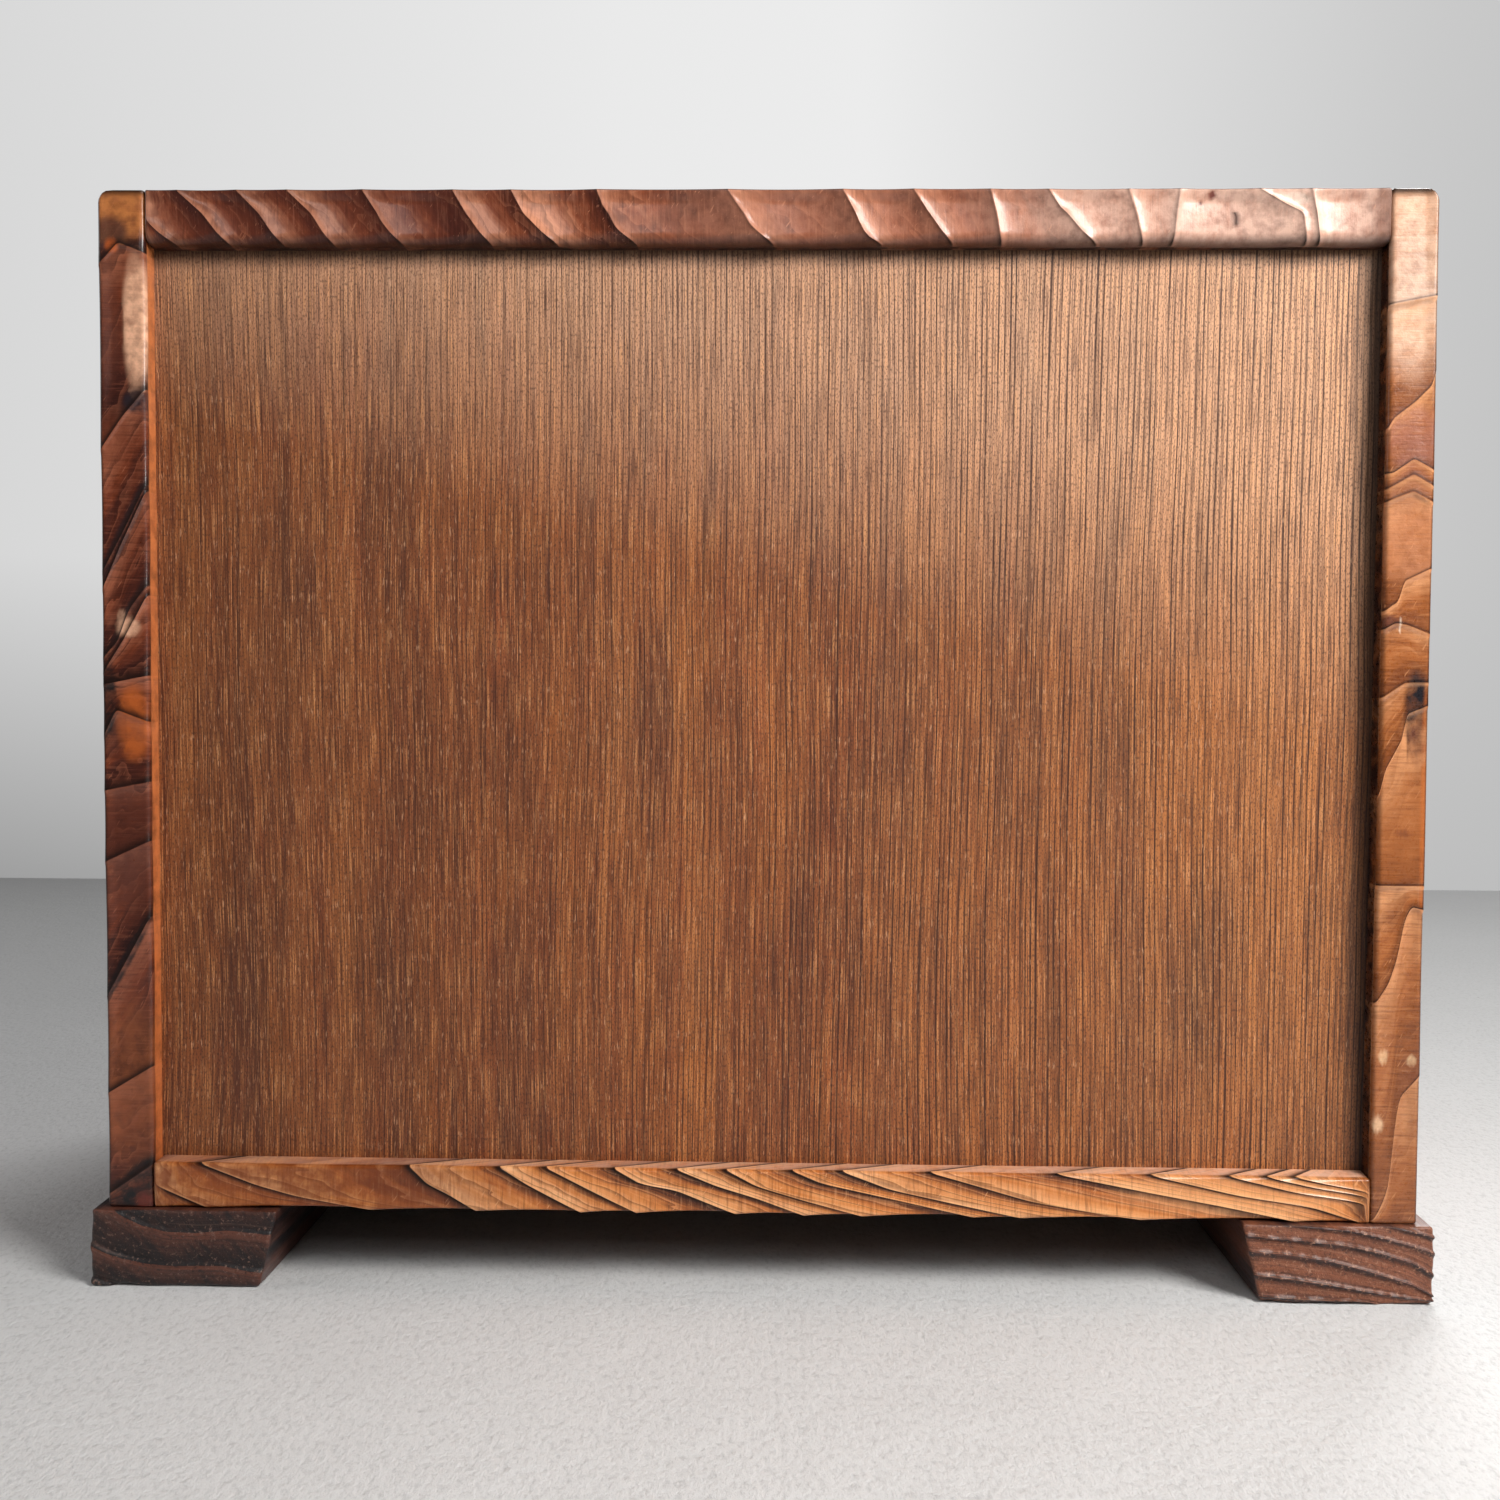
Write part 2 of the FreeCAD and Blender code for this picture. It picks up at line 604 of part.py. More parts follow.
def lattice(label, place):
    """The upright bars in front of a door's panel."""
    body = new_body(label, place)
    body.AllowCompound = True
    bar = add_box(body, "LatticeBar", BAR_CORNER, BAR_SIZE)
    repeat(body, "LatticeBars", [bar], "X_Axis", f"(bar_count - 1)*{BAR_PITCH}", "bar_count")
    return body


PULL_MIDDLE = f"({DOOR_HEIGHT}/2)"


def let_in_pull(body, x):
    """Sink the seat of a finger pull into a stile."""
    flange = sketch_on(body, "PullFlangeOutline", "XZ_Plane", "0")
    rounded_rectangle(flange, x, PULL_MIDDLE, "pull_width + pull_play", "pull_height + pull_play",
                      "(pull_round + pull_play/2)")
    pocket(body, "PullFlangeSeat", flange, "pull_flange")
    cup = sketch_on(body, "PullCupOutline", "XZ_Plane", "0")
    rounded_rectangle(cup, x, PULL_MIDDLE, "pull_width - 2*pull_rim + pull_play",
                      "pull_height - 2*pull_rim + pull_play", "(pull_round - pull_rim + pull_play/2)")
    pocket(body, "PullCupSeat", cup, "pull_depth + pull_play")


def finger_pull(label, place, x):
    """A pressed metal cup with a flat flange, let in flush with the stile."""
    body = new_body(label, place)
    flange = sketch_on(body, "FlangeOutline", "XZ_Plane", "0")
    rounded_rectangle(flange, x, PULL_MIDDLE, "pull_width", "pull_height", "pull_round")
    pad(body, "Flange", flange, "pull_flange").Reversed = True
    cup = sketch_on(body, "CupOutline", "XZ_Plane", "0")
    rounded_rectangle(cup, x, PULL_MIDDLE, "pull_width - 2*pull_rim", "pull_height - 2*pull_rim",
                      "(pull_round - pull_rim)")
    pad(body, "Cup", cup, "pull_depth").Reversed = True
    hollow = sketch_on(body, "HollowOutline", "XZ_Plane", "0")
    rim = "(pull_rim + pull_wall)"
    rounded_rectangle(hollow, x, PULL_MIDDLE, f"pull_width - 2*{rim}", f"pull_height - 2*{rim}",
                      f"(pull_round - {rim})")
    pocket(body, "Hollow", hollow, "pull_depth - pull_wall")
    return body


def door(name, place, pull_x, pull_stile):
    """A framed door whose tongues run in the tracks above and below it."""
    stiles = {
        "left": stile(f"{name}_left_stile", place, "0", "stile_width - tenon_length"),
        "right": stile(f"{name}_right_stile", place, f"{DOOR_WIDTH} - stile_width",
                       f"{DOOR_WIDTH} - stile_width"),
    }
    let_in_pull(stiles[pull_stile], pull_x)
    rail(f"{name}_bottom_rail", place, LOWER_STEPS + [("door_thick", LOWER_RAIL_TOP), ("0", LOWER_RAIL_TOP)],
         LOWER_TENON)
    rail(f"{name}_top_rail", place, UPPER_STEPS + [("0", UPPER_RAIL_BASE), ("door_thick", UPPER_RAIL_BASE)],
         UPPER_TENON)
    board(f"{name}_panel", DOOR_PANEL_CORNER, DOOR_PANEL_SIZE, place)
    lattice(f"{name}_lattice_bars", place)
    finger_pull(f"{name}_finger_pull", place, pull_x)


def doors():
    """The left door runs in the rear track and the right door in the front one."""
    left_place = (f"{INSIDE_LEFT} + door_side_gap", REAR_DOOR_Y, DOOR_BASE)
    right_place = (f"{PARTITION_LEFT} - door_side_gap - {DOOR_WIDTH}", FRONT_DOOR_Y, DOOR_BASE)
    door("left_door", left_place, "stile_width/2", "left")
    door("right_door", right_place, f"{DOOR_WIDTH} - stile_width/2", "right")


# ---------------------------------------------------------------- the drawers

FINGERS = 5                                     # of a drawer's back corners, an odd number
EIGHTH = math.tan(math.pi/8)                    # half a side of an octagon, to its radius
PIN_LENGTH = "(bail_reach + lug_width/2 + bail_stub)"


def octagon(sketch, radius):
    """An eight-sided outline about the sketch's own origin; the radius is to a flat side."""
    half = f"{radius}*{EIGHTH}"
    corners = [(half, radius), (f"-{half}", radius), (f"-{radius}", half), (f"-{radius}", f"-{half}"),
               (f"-{half}", f"-{radius}"), (half, f"-{radius}"), (radius, f"-{half}"), (radius, half)]
    return draw(sketch, corners)


def bail(label, place):
    """A forged square rod, bent twice, with a round pin turned in at each end."""
    body = new_body(label, place)
    outer = "(bail_spacing/2 + bail_reach + bail_rod)"
    inner = "(bail_spacing/2 + bail_reach)"
    foot = "(-bail_drop - bail_rod/2)"
    grip = "(bail_rod/2 - bail_drop)"
    outer_turn = f"({outer} - bail_outer_bend)"
    inner_turn = f"({inner} - bail_inner_bend)"
    outline = sketch_on(body, "RodOutline", "XZ_Plane", "-bail_rod/2")
    corners = [(f"-{outer}", "bail_rod/2"), (f"-{outer}", f"{foot} + bail_outer_bend"),
               (f"-{outer_turn}", foot), (outer_turn, foot), (outer, f"{foot} + bail_outer_bend"),
               (outer, "bail_rod/2"), (inner, "bail_rod/2"), (inner, f"{grip} + bail_inner_bend"),
               (inner_turn, grip), (f"-{inner_turn}", grip), (f"-{inner}", f"{grip} + bail_inner_bend"),
               (f"-{inner}", "bail_rod/2")]
    swell_radius = f"(({outer_turn}^2 + bail_swell^2)/(2*bail_swell))"
    bends = {1: ("bail_outer_bend", (-1, -1)), 2: (swell_radius, (0, -1)), 3: ("bail_outer_bend", (1, -1)),
             7: ("bail_inner_bend", (1, -1)), 9: ("bail_inner_bend", (-1, -1))}
    draw(outline, corners, bends)
    pad(body, "Rod", outline, "bail_rod")
    for name, start in (("LeftPin", f"-{inner}"), ("RightPin", f"{inner} - {PIN_LENGTH}")):
        section = sketch_on(body, f"{name}Section", "YZ_Plane", start)
        circle(section, "0", "0", "bail_rod/2")
        pad(body, name, section, PIN_LENGTH)
    return body


def posts(label, place):
    """A pair of forged lugs on eight-sided washers, each drilled for the bail's pin."""
    body = new_body(label, place)
    body.AllowCompound = True
    washer = sketch_on(body, "WasherOutline", "XZ_Plane")
    bind(washer, "AttachmentOffset.Base.x", "-bail_spacing/2")
    octagon(washer, "washer_radius")
    plate = pad(body, "Washer", washer, "washer_thick")
    lug = sketch_on(body, "LugOutline", "YZ_Plane", "-(bail_spacing + lug_width)/2")
    cheek = f"(lug_radius*{EIGHTH})"
    corners = [("-washer_thick/2", "-lug_radius"), ("-washer_thick/2", "lug_radius"),
               (f"-bail_stand - {cheek}", "lug_radius"), ("-bail_stand - lug_radius", cheek),
               ("-bail_stand - lug_radius", f"-{cheek}"), (f"-bail_stand - {cheek}", "-lug_radius")]
    draw(lug, corners)
    block = pad(body, "Lug", lug, "lug_width")
    hole = sketch_on(body, "PinHoleOutline", "YZ_Plane", "(lug_width - bail_spacing)/2 + 1")
    circle(hole, "-bail_stand", "0", "(bail_rod + pin_play)/2")
    drilled = pocket(body, "PinHole", hole, "lug_width + 2")
    other = body.newObject("PartDesign::Mirrored", "OtherPost")
    other.Originals = [plate, block, drilled]
    other.MirrorPlane = (datum(body, "YZ_Plane"), [""])
    body.Tip = other
    return body


def drawer(name, opening, handles):
    """A drawer that fills an opening, with a bail at each named share of its width."""
    left, base, width, rise = opening
    place = (f"{left} + drawer_side_play", f"{FRONT} + drawer_setback", f"{base} + drawer_run_gap")
    wide = f"({width} - 2*drawer_side_play)"
    tall = f"({rise} - drawer_run_gap - drawer_top_play)"
    side_tall = f"({tall} - side_drop)"
    finger = f"({side_tall}/{FINGERS})"
    back_y = f"({DRAWER_DEPTH} - side_thick)"
    side_xs = {"left": "0", "right": f"({wide} - side_thick)"}
    floor_corner = ("side_thick - drawer_floor_entry", "front_thick - drawer_floor_entry",
                    "drawer_floor_rise")
    floor_size = (f"{wide} - 2*(side_thick - drawer_floor_entry)",
                  f"{back_y} - front_thick + 2*drawer_floor_entry", "drawer_floor")

    front = board(f"{name}_front", ("0", "0", "0"), (wide, "front_thick", tall), place)
    back = board(f"{name}_back", ("0", back_y, "0"), (wide, "side_thick", side_tall), place)
    notches = []
    for side, x in side_xs.items():
        side_length = f"({DRAWER_DEPTH} - front_lip)"
        wall_size = ("side_thick", side_length, side_tall)
        wall = board(f"{name}_{side}_side", (x, "front_lip", "0"), wall_size, place)
        cut_box(wall, "FloorGroove", floor_corner, floor_size)
        socket = cut_box(wall, "Socket", (x, back_y, finger), ("side_thick", "side_thick", finger))
        repeat(wall, "Sockets", [socket], "Z_Axis", f"{FINGERS - 3}*{finger}", f"{FINGERS//2}")
        cut_box(front, f"{side.title()}Rebate", (x, "front_lip", "0"),
                ("side_thick", "front_thick - front_lip", side_tall))
        notches.append(cut_box(back, f"{side.title()}Notch", (x, back_y, "0"),
                               ("side_thick", "side_thick", finger)))
    repeat(back, "Notches", notches, "Z_Axis", f"{FINGERS - 1}*{finger}", f"{FINGERS//2 + 1}")
    for wall in (front, back):
        cut_box(wall, "FloorGroove", floor_corner, floor_size)
    board(f"{name}_floor", floor_corner, floor_size, place)

    for handle, share in handles:
        pivot = (f"{place[0]} + {share}*{wide}", place[1], f"{place[2]} + {tall}/2 + bail_raise")
        posts(f"{name}_{handle}posts", pivot)
        bail(f"{name}_{handle}bail", (pivot[0], f"{pivot[1]} - bail_stand", pivot[2]))


def drawers():
    """Three small drawers one over another, and a wide one under the shelf."""
    for level, name in enumerate(("lower_drawer", "middle_drawer", "upper_drawer")):
        base = f"{SHELF_TOP} + {level}*({SMALL_RISE} + drawer_shelf_thick)"
        drawer(name, (SMALL_LEFT, base, "small_opening", SMALL_RISE), [("", "1/2")])
    drawer("wide_drawer", (INSIDE_LEFT, FLOOR_TOP, INSIDE_WIDTH, "wide_opening"),
           [("left_", "1/4"), ("right_", "3/4")])


# ---------------------------------------------------------------- checks and files


def check():
    """Stop if anything failed to build, or if a cut took nothing away."""
    for item in doc.Objects:
        if "Invalid" in item.State or "Error" in item.State:
            raise RuntimeError(f"{item.Label} failed: {item.State}")
        if item.TypeId == "PartDesign::Pocket":
            before = item.BaseFeature.Shape.Volume
            if item.Shape.Volume > before - 0.01:
                raise RuntimeError(f"{item.FullName} cuts nothing")
    for piece in pieces:
        if piece.Shape.isNull() or not piece.Shape.isValid():
            raise RuntimeError(f"{piece.Label} has no valid shape")


def write():
    """Write each sub-part to its own file."""
    os.makedirs("parts", exist_ok=True)
    for piece in pieces:
        piece.Shape.exportStep(f"parts/{piece.Label}.step")


case()
doors()
drawers()
doc.recompute()
check()
write()
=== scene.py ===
"""Looks for the tea cabinet: hewn cedar case, veneered back, lattice doors, small drawers and iron bails."""
import math

import bpy
import numpy as np
from mathutils import Matrix, Vector


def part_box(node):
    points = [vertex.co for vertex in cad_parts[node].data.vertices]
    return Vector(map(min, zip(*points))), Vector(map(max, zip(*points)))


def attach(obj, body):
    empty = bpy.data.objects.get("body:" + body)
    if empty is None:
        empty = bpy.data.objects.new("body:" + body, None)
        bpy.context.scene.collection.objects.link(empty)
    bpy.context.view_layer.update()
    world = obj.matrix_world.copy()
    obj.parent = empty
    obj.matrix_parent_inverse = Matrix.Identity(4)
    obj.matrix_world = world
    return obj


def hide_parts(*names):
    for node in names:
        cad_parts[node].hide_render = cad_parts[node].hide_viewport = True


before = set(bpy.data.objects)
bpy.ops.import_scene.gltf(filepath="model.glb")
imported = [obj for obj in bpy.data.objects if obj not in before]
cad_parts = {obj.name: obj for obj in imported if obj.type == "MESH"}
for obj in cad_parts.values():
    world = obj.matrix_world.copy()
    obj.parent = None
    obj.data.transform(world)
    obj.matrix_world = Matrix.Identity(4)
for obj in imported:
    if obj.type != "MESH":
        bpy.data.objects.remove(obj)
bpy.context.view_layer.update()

MM = 0.001
SCENE = bpy.context.scene
SCENE.view_settings.view_transform = "Standard"


def link(name, data):
    """A new object in the scene."""
    placed = bpy.data.objects.new(name, data)
    SCENE.collection.objects.link(placed)
    return placed


def box_mm(node):
    """A node's lowest and highest corner, in mm."""
    return [np.array(painted_shade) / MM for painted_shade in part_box(node)]


# ---- camera

CAMERA_AT = (-7.6 * MM, 599.4 * MM, 193.3 * MM)
CAMERA_YAW, CAMERA_PITCH, CAMERA_ROLL = -0.0221, 0.0395, -0.0058


def photo_camera():
    """The photograph's camera, which looks at the cabinet's back from its middle height."""
    (cy, cp, cr), (sy, sp, sr) = ([turn(angle) for angle in (CAMERA_YAW, CAMERA_PITCH, CAMERA_ROLL)]
                                  for turn in (math.cos, math.sin))
    right, ahead, up = Vector((cy, -sy, 0)), Vector((sy, cy, 0)), Vector((0, 0, 1))
    ahead, up = cp * ahead - sp * up, sp * ahead + cp * up
    right, up = cr * right - sr * up, sr * right + cr * up
    axes = [Vector((-v.x, -v.y, v.z)) for v in (right, up, -ahead)]
    camera = bpy.data.cameras.new("photo_camera")
    camera.sensor_width = 36
    camera.lens = 36
    camera.clip_start = 0.01
    placed = link("photo_camera", camera)
    placed.matrix_world = Matrix.Translation(CAMERA_AT) @ Matrix(axes).transposed().to_4x4()
    SCENE.camera = placed


photo_camera()


# ---- shaders

def linear(colour):
    """A colour of three screen values, 0 to 255, as a linear colour. One of four values is linear already."""
    if len(colour) == 4:
        return colour
    return tuple(v / 255 / 12.92 if v <= 10 else ((v / 255 + 0.055) / 1.055) ** 2.4 for v in colour) + (1,)


class Nodes:
    """A short way to write a node tree. A value is a number, a tuple or another node's output."""

    def __init__(self, tree):
        self.tree = tree
        tree.nodes.clear()

    def put(self, socket, value):
        if isinstance(value, bpy.types.NodeSocket):
            self.tree.links.new(value, socket)
        else:
            socket.default_value = linear(value) if socket.type == "RGBA" else value

    def node(self, kind, inputs=(), **settings):
        made = self.tree.nodes.new("ShaderNode" + kind)
        for name, value in settings.items():
            setattr(made, name, value)
        for index, value in (inputs.items() if isinstance(inputs, dict) else enumerate(inputs)):
            if value is not None:
                self.put(made.inputs[index], value)
        return made

    def place(self):
        """The point's place in the cabinet's own frame, in metres."""
        return self.node("TexCoord").outputs["Object"]

    def attribute(self, name, output="Fac"):
        return self.node("Attribute", attribute_name=name).outputs[output]

    def times(self, vector, factors, offset=(0, 0, 0)):
        factors = factors if isinstance(factors, tuple) else (factors,) * 3
        return self.node("VectorMath", (vector, factors, offset), operation="MULTIPLY_ADD").outputs[0]

    def plus(self, a, b):
        return self.node("VectorMath", (a, b), operation="ADD").outputs[0]

    def split(self, vector):
        return self.node("SeparateXYZ", (vector,)).outputs

    def join(self, x, y, z):
        return self.node("CombineXYZ", (x, y, z)).outputs[0]

    def math(self, operation, a, b=0.0, c=0.0, clamp=False):
        return self.node("Math", (a, b, c), operation=operation, use_clamp=clamp).outputs[0]

    def mul(self, a, b):
        return self.math("MULTIPLY", a, b)

    def add(self, a, b):
        return self.math("ADD", a, b)

    def mul_add(self, a, b, c):
        return self.math("MULTIPLY_ADD", a, b, c)

    def noise(self, vector, detail=2.0, rough=0.5, warp=0.0):
        made = self.node("TexNoise", {"Vector": vector, "Scale": 1.0, "Detail": detail,
                                      "Roughness": rough, "Distortion": warp})
        return made.outputs["Fac"]

    def spots(self, place, factors, *settings):
        """Noise at so many spots to the metre."""
        return self.noise(self.times(place, factors), *settings)

    def turned(self, vector, degrees):
        return self.node("Mapping", {"Vector": vector, "Rotation": (0, math.radians(degrees), 0)}).outputs[0]

    def ramp(self, value, *stops):
        """Stops are (position, number or colour)."""
        made = self.node("ValToRGB", (value,))
        row = made.color_ramp.elements
        while len(row) < len(stops):
            row.new(0.5)
        for element, (position, colour) in zip(row, stops):
            element.position = position
        for element, (position, colour) in zip(row, stops):
            element.color = linear(colour) if isinstance(colour, tuple) else (colour, colour, colour, 1)
        return made.outputs[0]

    def mix(self, share, a, b, how="MIX"):
        made = self.node("Mix", {0: share, 6: a, 7: b}, data_type="RGBA", blend_type=how)
        return made.outputs[2]

    def lay(self, colour, *layers, how="MIX"):
        """Lay colours over one another: a layer is a pattern, a colour, and the stops of its share."""
        for pattern, over, *stops in layers:
            colour = self.mix(self.ramp(pattern, *stops), colour, over, how)
        return colour


class Shader(Nodes):
    """A material's nodes."""

    def __init__(self, name, **gloss):
        self.mat = bpy.data.materials.new(name)
        self.mat.use_nodes = True
        super().__init__(self.mat.node_tree)
        inputs = {key.replace("_", " "): value for key, value in gloss.items()}
        self.bsdf = self.node("BsdfPrincipled", inputs)
        self.node("OutputMaterial", self.bsdf.outputs[:1])

    def finish(self, colour, rough, height, relief, strength):
        """The material, with its bumps' height in metres."""
        normal = self.node("Bump", {"Height": height, "Distance": relief, "Strength": strength}).outputs[0]
        for socket, value in (("Base Color", colour), ("Roughness", rough), ("Normal", normal)):
            self.put(self.bsdf.inputs[socket], value)
        return self.mat


def along(axis, run, across):
    """Factors that stretch a pattern along the grain."""
    return tuple(run if letter == axis else across for letter in "XYZ")


def grown(s, place, axis, ring, pith, spread, squeeze, sway, warp, fibre):
    """Growth rings round a pith line that runs beside the board, and the fibre along it."""
    slow = s.spots(place, along(axis, 5, spread), 3, 0.55)
    moved = s.plus(s.times(place, along(axis, squeeze, 1), pith), s.times(slow, sway))
    scale = 2 * math.pi / 20 / ring             # a ring wave of scale 1 repeats every 2 pi / 20
    rings = s.node("TexWave", {"Vector": moved, "Scale": scale, "Distortion": warp, "Detail": 2.0,
                               "Detail Scale": 0.35, "Detail Roughness": 0.55},
                   wave_type="RINGS", rings_direction=axis, wave_profile="SAW").outputs["Fac"]
    return rings, s.spots(place, along(axis, *fibre), 3, 0.6)


def cedar(name, axis, palette, pith=(0.03, 0.02, -0.05), ring=0.0045, gloss=0.36, relief=0.00018, coat=0.25):
    """Lacquered cedar. The palette goes from early to late wood."""
    pale, mid, dark = palette
    s = Shader(name, Coat_Weight=coat, Coat_Roughness=0.22, Specular_IOR_Level=0.4)
    place = s.place()
    rings, fibre = grown(s, place, axis, ring, pith, 26, 0.12, 0.012, 2.2, (26, 1500))
    pores = s.spots(place, along(axis, 120, 2600), 2, 0.5)
    cloud = s.spots(place, along(axis, 9, 30), 4, 0.6, 0.3)
    wood = s.ramp(rings, (0.0, pale), (0.5, pale), (0.8, mid), (0.95, dark), (1.0, mid))
    wood = s.lay(wood, (fibre, mid, (0.3, 0.0), (0.75, 0.55)), (cloud, dark, (0.35, 0.0), (0.72, 0.7)))
    wood = s.lay(wood, (pores, dark, (0.22, 0.7), (0.36, 0.0)), how="MULTIPLY")
    rough = s.ramp(fibre, (0.2, gloss - 0.07), (0.85, gloss + 0.1))
    return s.finish(wood, rough, s.mix(0.35, rings, fibre), relief, 0.8)


def halfway(a, b):
    """The colour half way between two."""
    return tuple((p + q) / 2 for p, q in zip(linear(a), linear(b)))


def hewn(name, axis, palette, broad, veins, gloss=0.3):
    """Cedar whose gouged edges shine. The palette is for the edges: dark, mid, light, and a warm tint.

    Broad is for the broad faces: pale, middle and late wood, the rings' width and their pith.
    Veins are growth rings that a cut lays bare: how many to a cut, and how dark.
    The mesh says where its gouge cuts are: 'cut' holds the cut's number and the place along it, the height on
    the edge and a tone; 'line' is painted shadow beside a crest, on the arrises and at the ends, and a
    painted highlight on a crest's lip; 'stain' holds local colours: stains, and some painted highlights.
    """
    dark, mid, light, tint = palette
    s = Shader(name, Coat_Roughness=0.17, Specular_IOR_Level=0.25)
    place = s.place()
    number, height, tone = s.split(s.attribute("cut", "Vector"))
    edge, line = s.attribute("edge"), s.attribute("line")
    s.put(s.bsdf.inputs["Coat Weight"], s.ramp(line, (0.1, 0.0), (0.45, 0.35)))
    # Each cut goes from a pale lip to a dark end, painted light and shade across its hollow; streaks, fine
    # lines and scratches lie over that.
    sweep = s.noise(s.join(s.mul(number, 7.0), s.mul(height, 1.1), tone), 4, 0.62, 0.4)
    hatch = s.spots(place, along(axis, 1500, 110), 3, 0.6, 0.15)
    cloud = s.spots(place, along(axis, 34, 60), 4, 0.6, 0.5)
    speck = s.spots(place, 900, 3, 0.65)
    inside = s.add(s.math("FRACT", number), s.mul_add(sweep, 0.9, -0.45))
    inside = s.add(inside, s.mul_add(tone, 0.3, -0.15))
    wood = s.ramp(inside, (0.02, light), (0.2, halfway(light, mid)), (0.45, mid), (0.68, tint), (0.95, dark))
    wood = s.lay(wood, (cloud, tint, (0.42, 0.0), (0.68, 0.5)), (cloud, dark, (0.26, 0.55), (0.42, 0.0)))
    curl = s.noise(s.join(s.mul(number, 1.3), s.mul(height, 0.8), 5.0), 3, 0.6)
    many, strong = veins
    vein = s.math("FRACT", s.mul_add(curl, 3.2, s.mul(number, many)))
    wood = s.lay(wood, (vein, dark, (0.62, 0.0), (0.9, strong), (0.97, strong), (1.0, 0.0)),
                 (vein, light, (0.0, strong * 0.6), (0.2, 0.0)))
    wood = s.lay(wood, (hatch, dark, (0.3, 0.42), (0.5, 0.0)), how="MULTIPLY")
    nicks = s.spots(s.turned(place, 32), along("Z", 190, 1500), 2, 0.5)
    wood = s.lay(wood, (hatch, light, (0.55, 0.0), (0.8, 0.35)), (speck, light, (0.62, 0.0), (0.8, 0.28)),
                 (nicks, light, (0.66, 0.0), (0.74, 0.55)))
    stain = s.node("Attribute", attribute_name="stain").outputs
    fray = s.ramp(s.spots(place, 260, 3, 0.6), (0.3, 0.45), (0.6, 1.0))
    wood = s.mix(s.math("MULTIPLY", stain["Alpha"], fray, clamp=True), wood, stain["Color"])
    # Painted shadow beside each crest, on the arrises and at the ends, and a painted highlight on each lip.
    wood = s.lay(wood, (line, (30, 16, 12), (0.0, 1.0), (0.5, 0.0)), (line, light, (0.5, 0.0), (1.0, 0.55)))
    # The broad faces: growth rings under lacquer.
    pale, middle, late, ring, pith = broad
    rings, fibre = grown(s, place, axis, ring, pith, 24, 0.1, 0.016, 2.6, (22, 1400))
    face = s.ramp(rings, (0.0, pale), (0.45, pale), (0.78, middle), (0.94, late), (1.0, middle))
    face = s.lay(face, (fibre, middle, (0.35, 0.0), (0.8, 0.5)),
                 (s.spots(place, along(axis, 7, 16), 3, 0.6), late, (0.4, 0.0), (0.7, 0.6)))
    fine = s.add(s.mul(hatch, 0.5), s.mul(speck, 0.5))
    rough = s.ramp(s.mix(edge, fibre, speck), (0.2, gloss - 0.05), (0.85, gloss + 0.14))
    height = s.mix(edge, s.mix(0.3, rings, fibre), fine)
    return s.finish(s.mix(edge, face, wood), rough, height, 0.00022, 0.7)


# ---- meshes

def add_piece(name, points, faces, body, material, slot, node, flat=(), sharp=40, **attributes):
    """A mesh object in the cabinet's own frame, from points in mm. It rides on a body and replaces a node.

    Flat lists the faces that aren't smooth. An attribute has a number, a vector or a colour for each point.
    """
    mesh = bpy.data.meshes.new(name)
    mesh.from_pydata((np.array(points) * MM).tolist(), [], faces)
    mesh.validate()
    mesh.shade_smooth()
    for index in flat:
        mesh.polygons[index].use_smooth = False
    mesh.set_sharp_from_angle(angle=math.radians(sharp))
    mesh.materials.append(material)
    piece = link(name, mesh)
    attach(piece, body)
    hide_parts(node)
    kinds = {1: ("FLOAT", "value"), 3: ("FLOAT_VECTOR", "vector"), 4: ("FLOAT_COLOR", "color")}
    for attribute, values in attributes.items():
        kind, field = kinds[np.size(values[0])]
        made = mesh.attributes.new(attribute, kind, "POINT")
        made.data.foreach_set(field, np.ascontiguousarray(values, np.float32).ravel())


def wander(seed, *coordinates):
    """Smooth, repeatable unevenness between -1 and 1, from a few waves."""
    dice = np.random.default_rng(seed)
    total = 0.0
    for _ in range(7):
        phase = dice.uniform(0, 6.28)
        for coordinate in coordinates:
            phase = phase + coordinate * dice.uniform(-1, 1)
        total = total + np.sin(phase)
    return np.clip(total / 4.2, -1, 1)


def smooth_step(x):
    x = np.clip(x, 0, 1)
    return x * x * (3 - 2 * x)


def rounding(gap, radius):
    """How far a rounded arris falls back at a distance from its end."""
    return radius - np.sqrt(np.maximum(radius ** 2 - np.clip(radius - gap, 0, radius) ** 2, 0))


# ---- hewn boards

THICK, HALF = 15.0, 125.0                       # a board's thickness, and half its depth
TOP_LENGTH, SIDE_LENGTH = 390.0, 325.0
STATIONS = 330                                  # quads along a board
LEVELS = 61                                     # heights on the edge at which a crest's line is known
REAR, FRONT, UNDER, GROOVE, OVER = range(5)     # the kinds of row in a board's section
LIP = 117.0                                     # the back panel's face, where the rear edge's lip begins
RECESS, CROWN = 113.0, 112.0                    # where the recess, painted shade or light, and the crown have a colour of their own
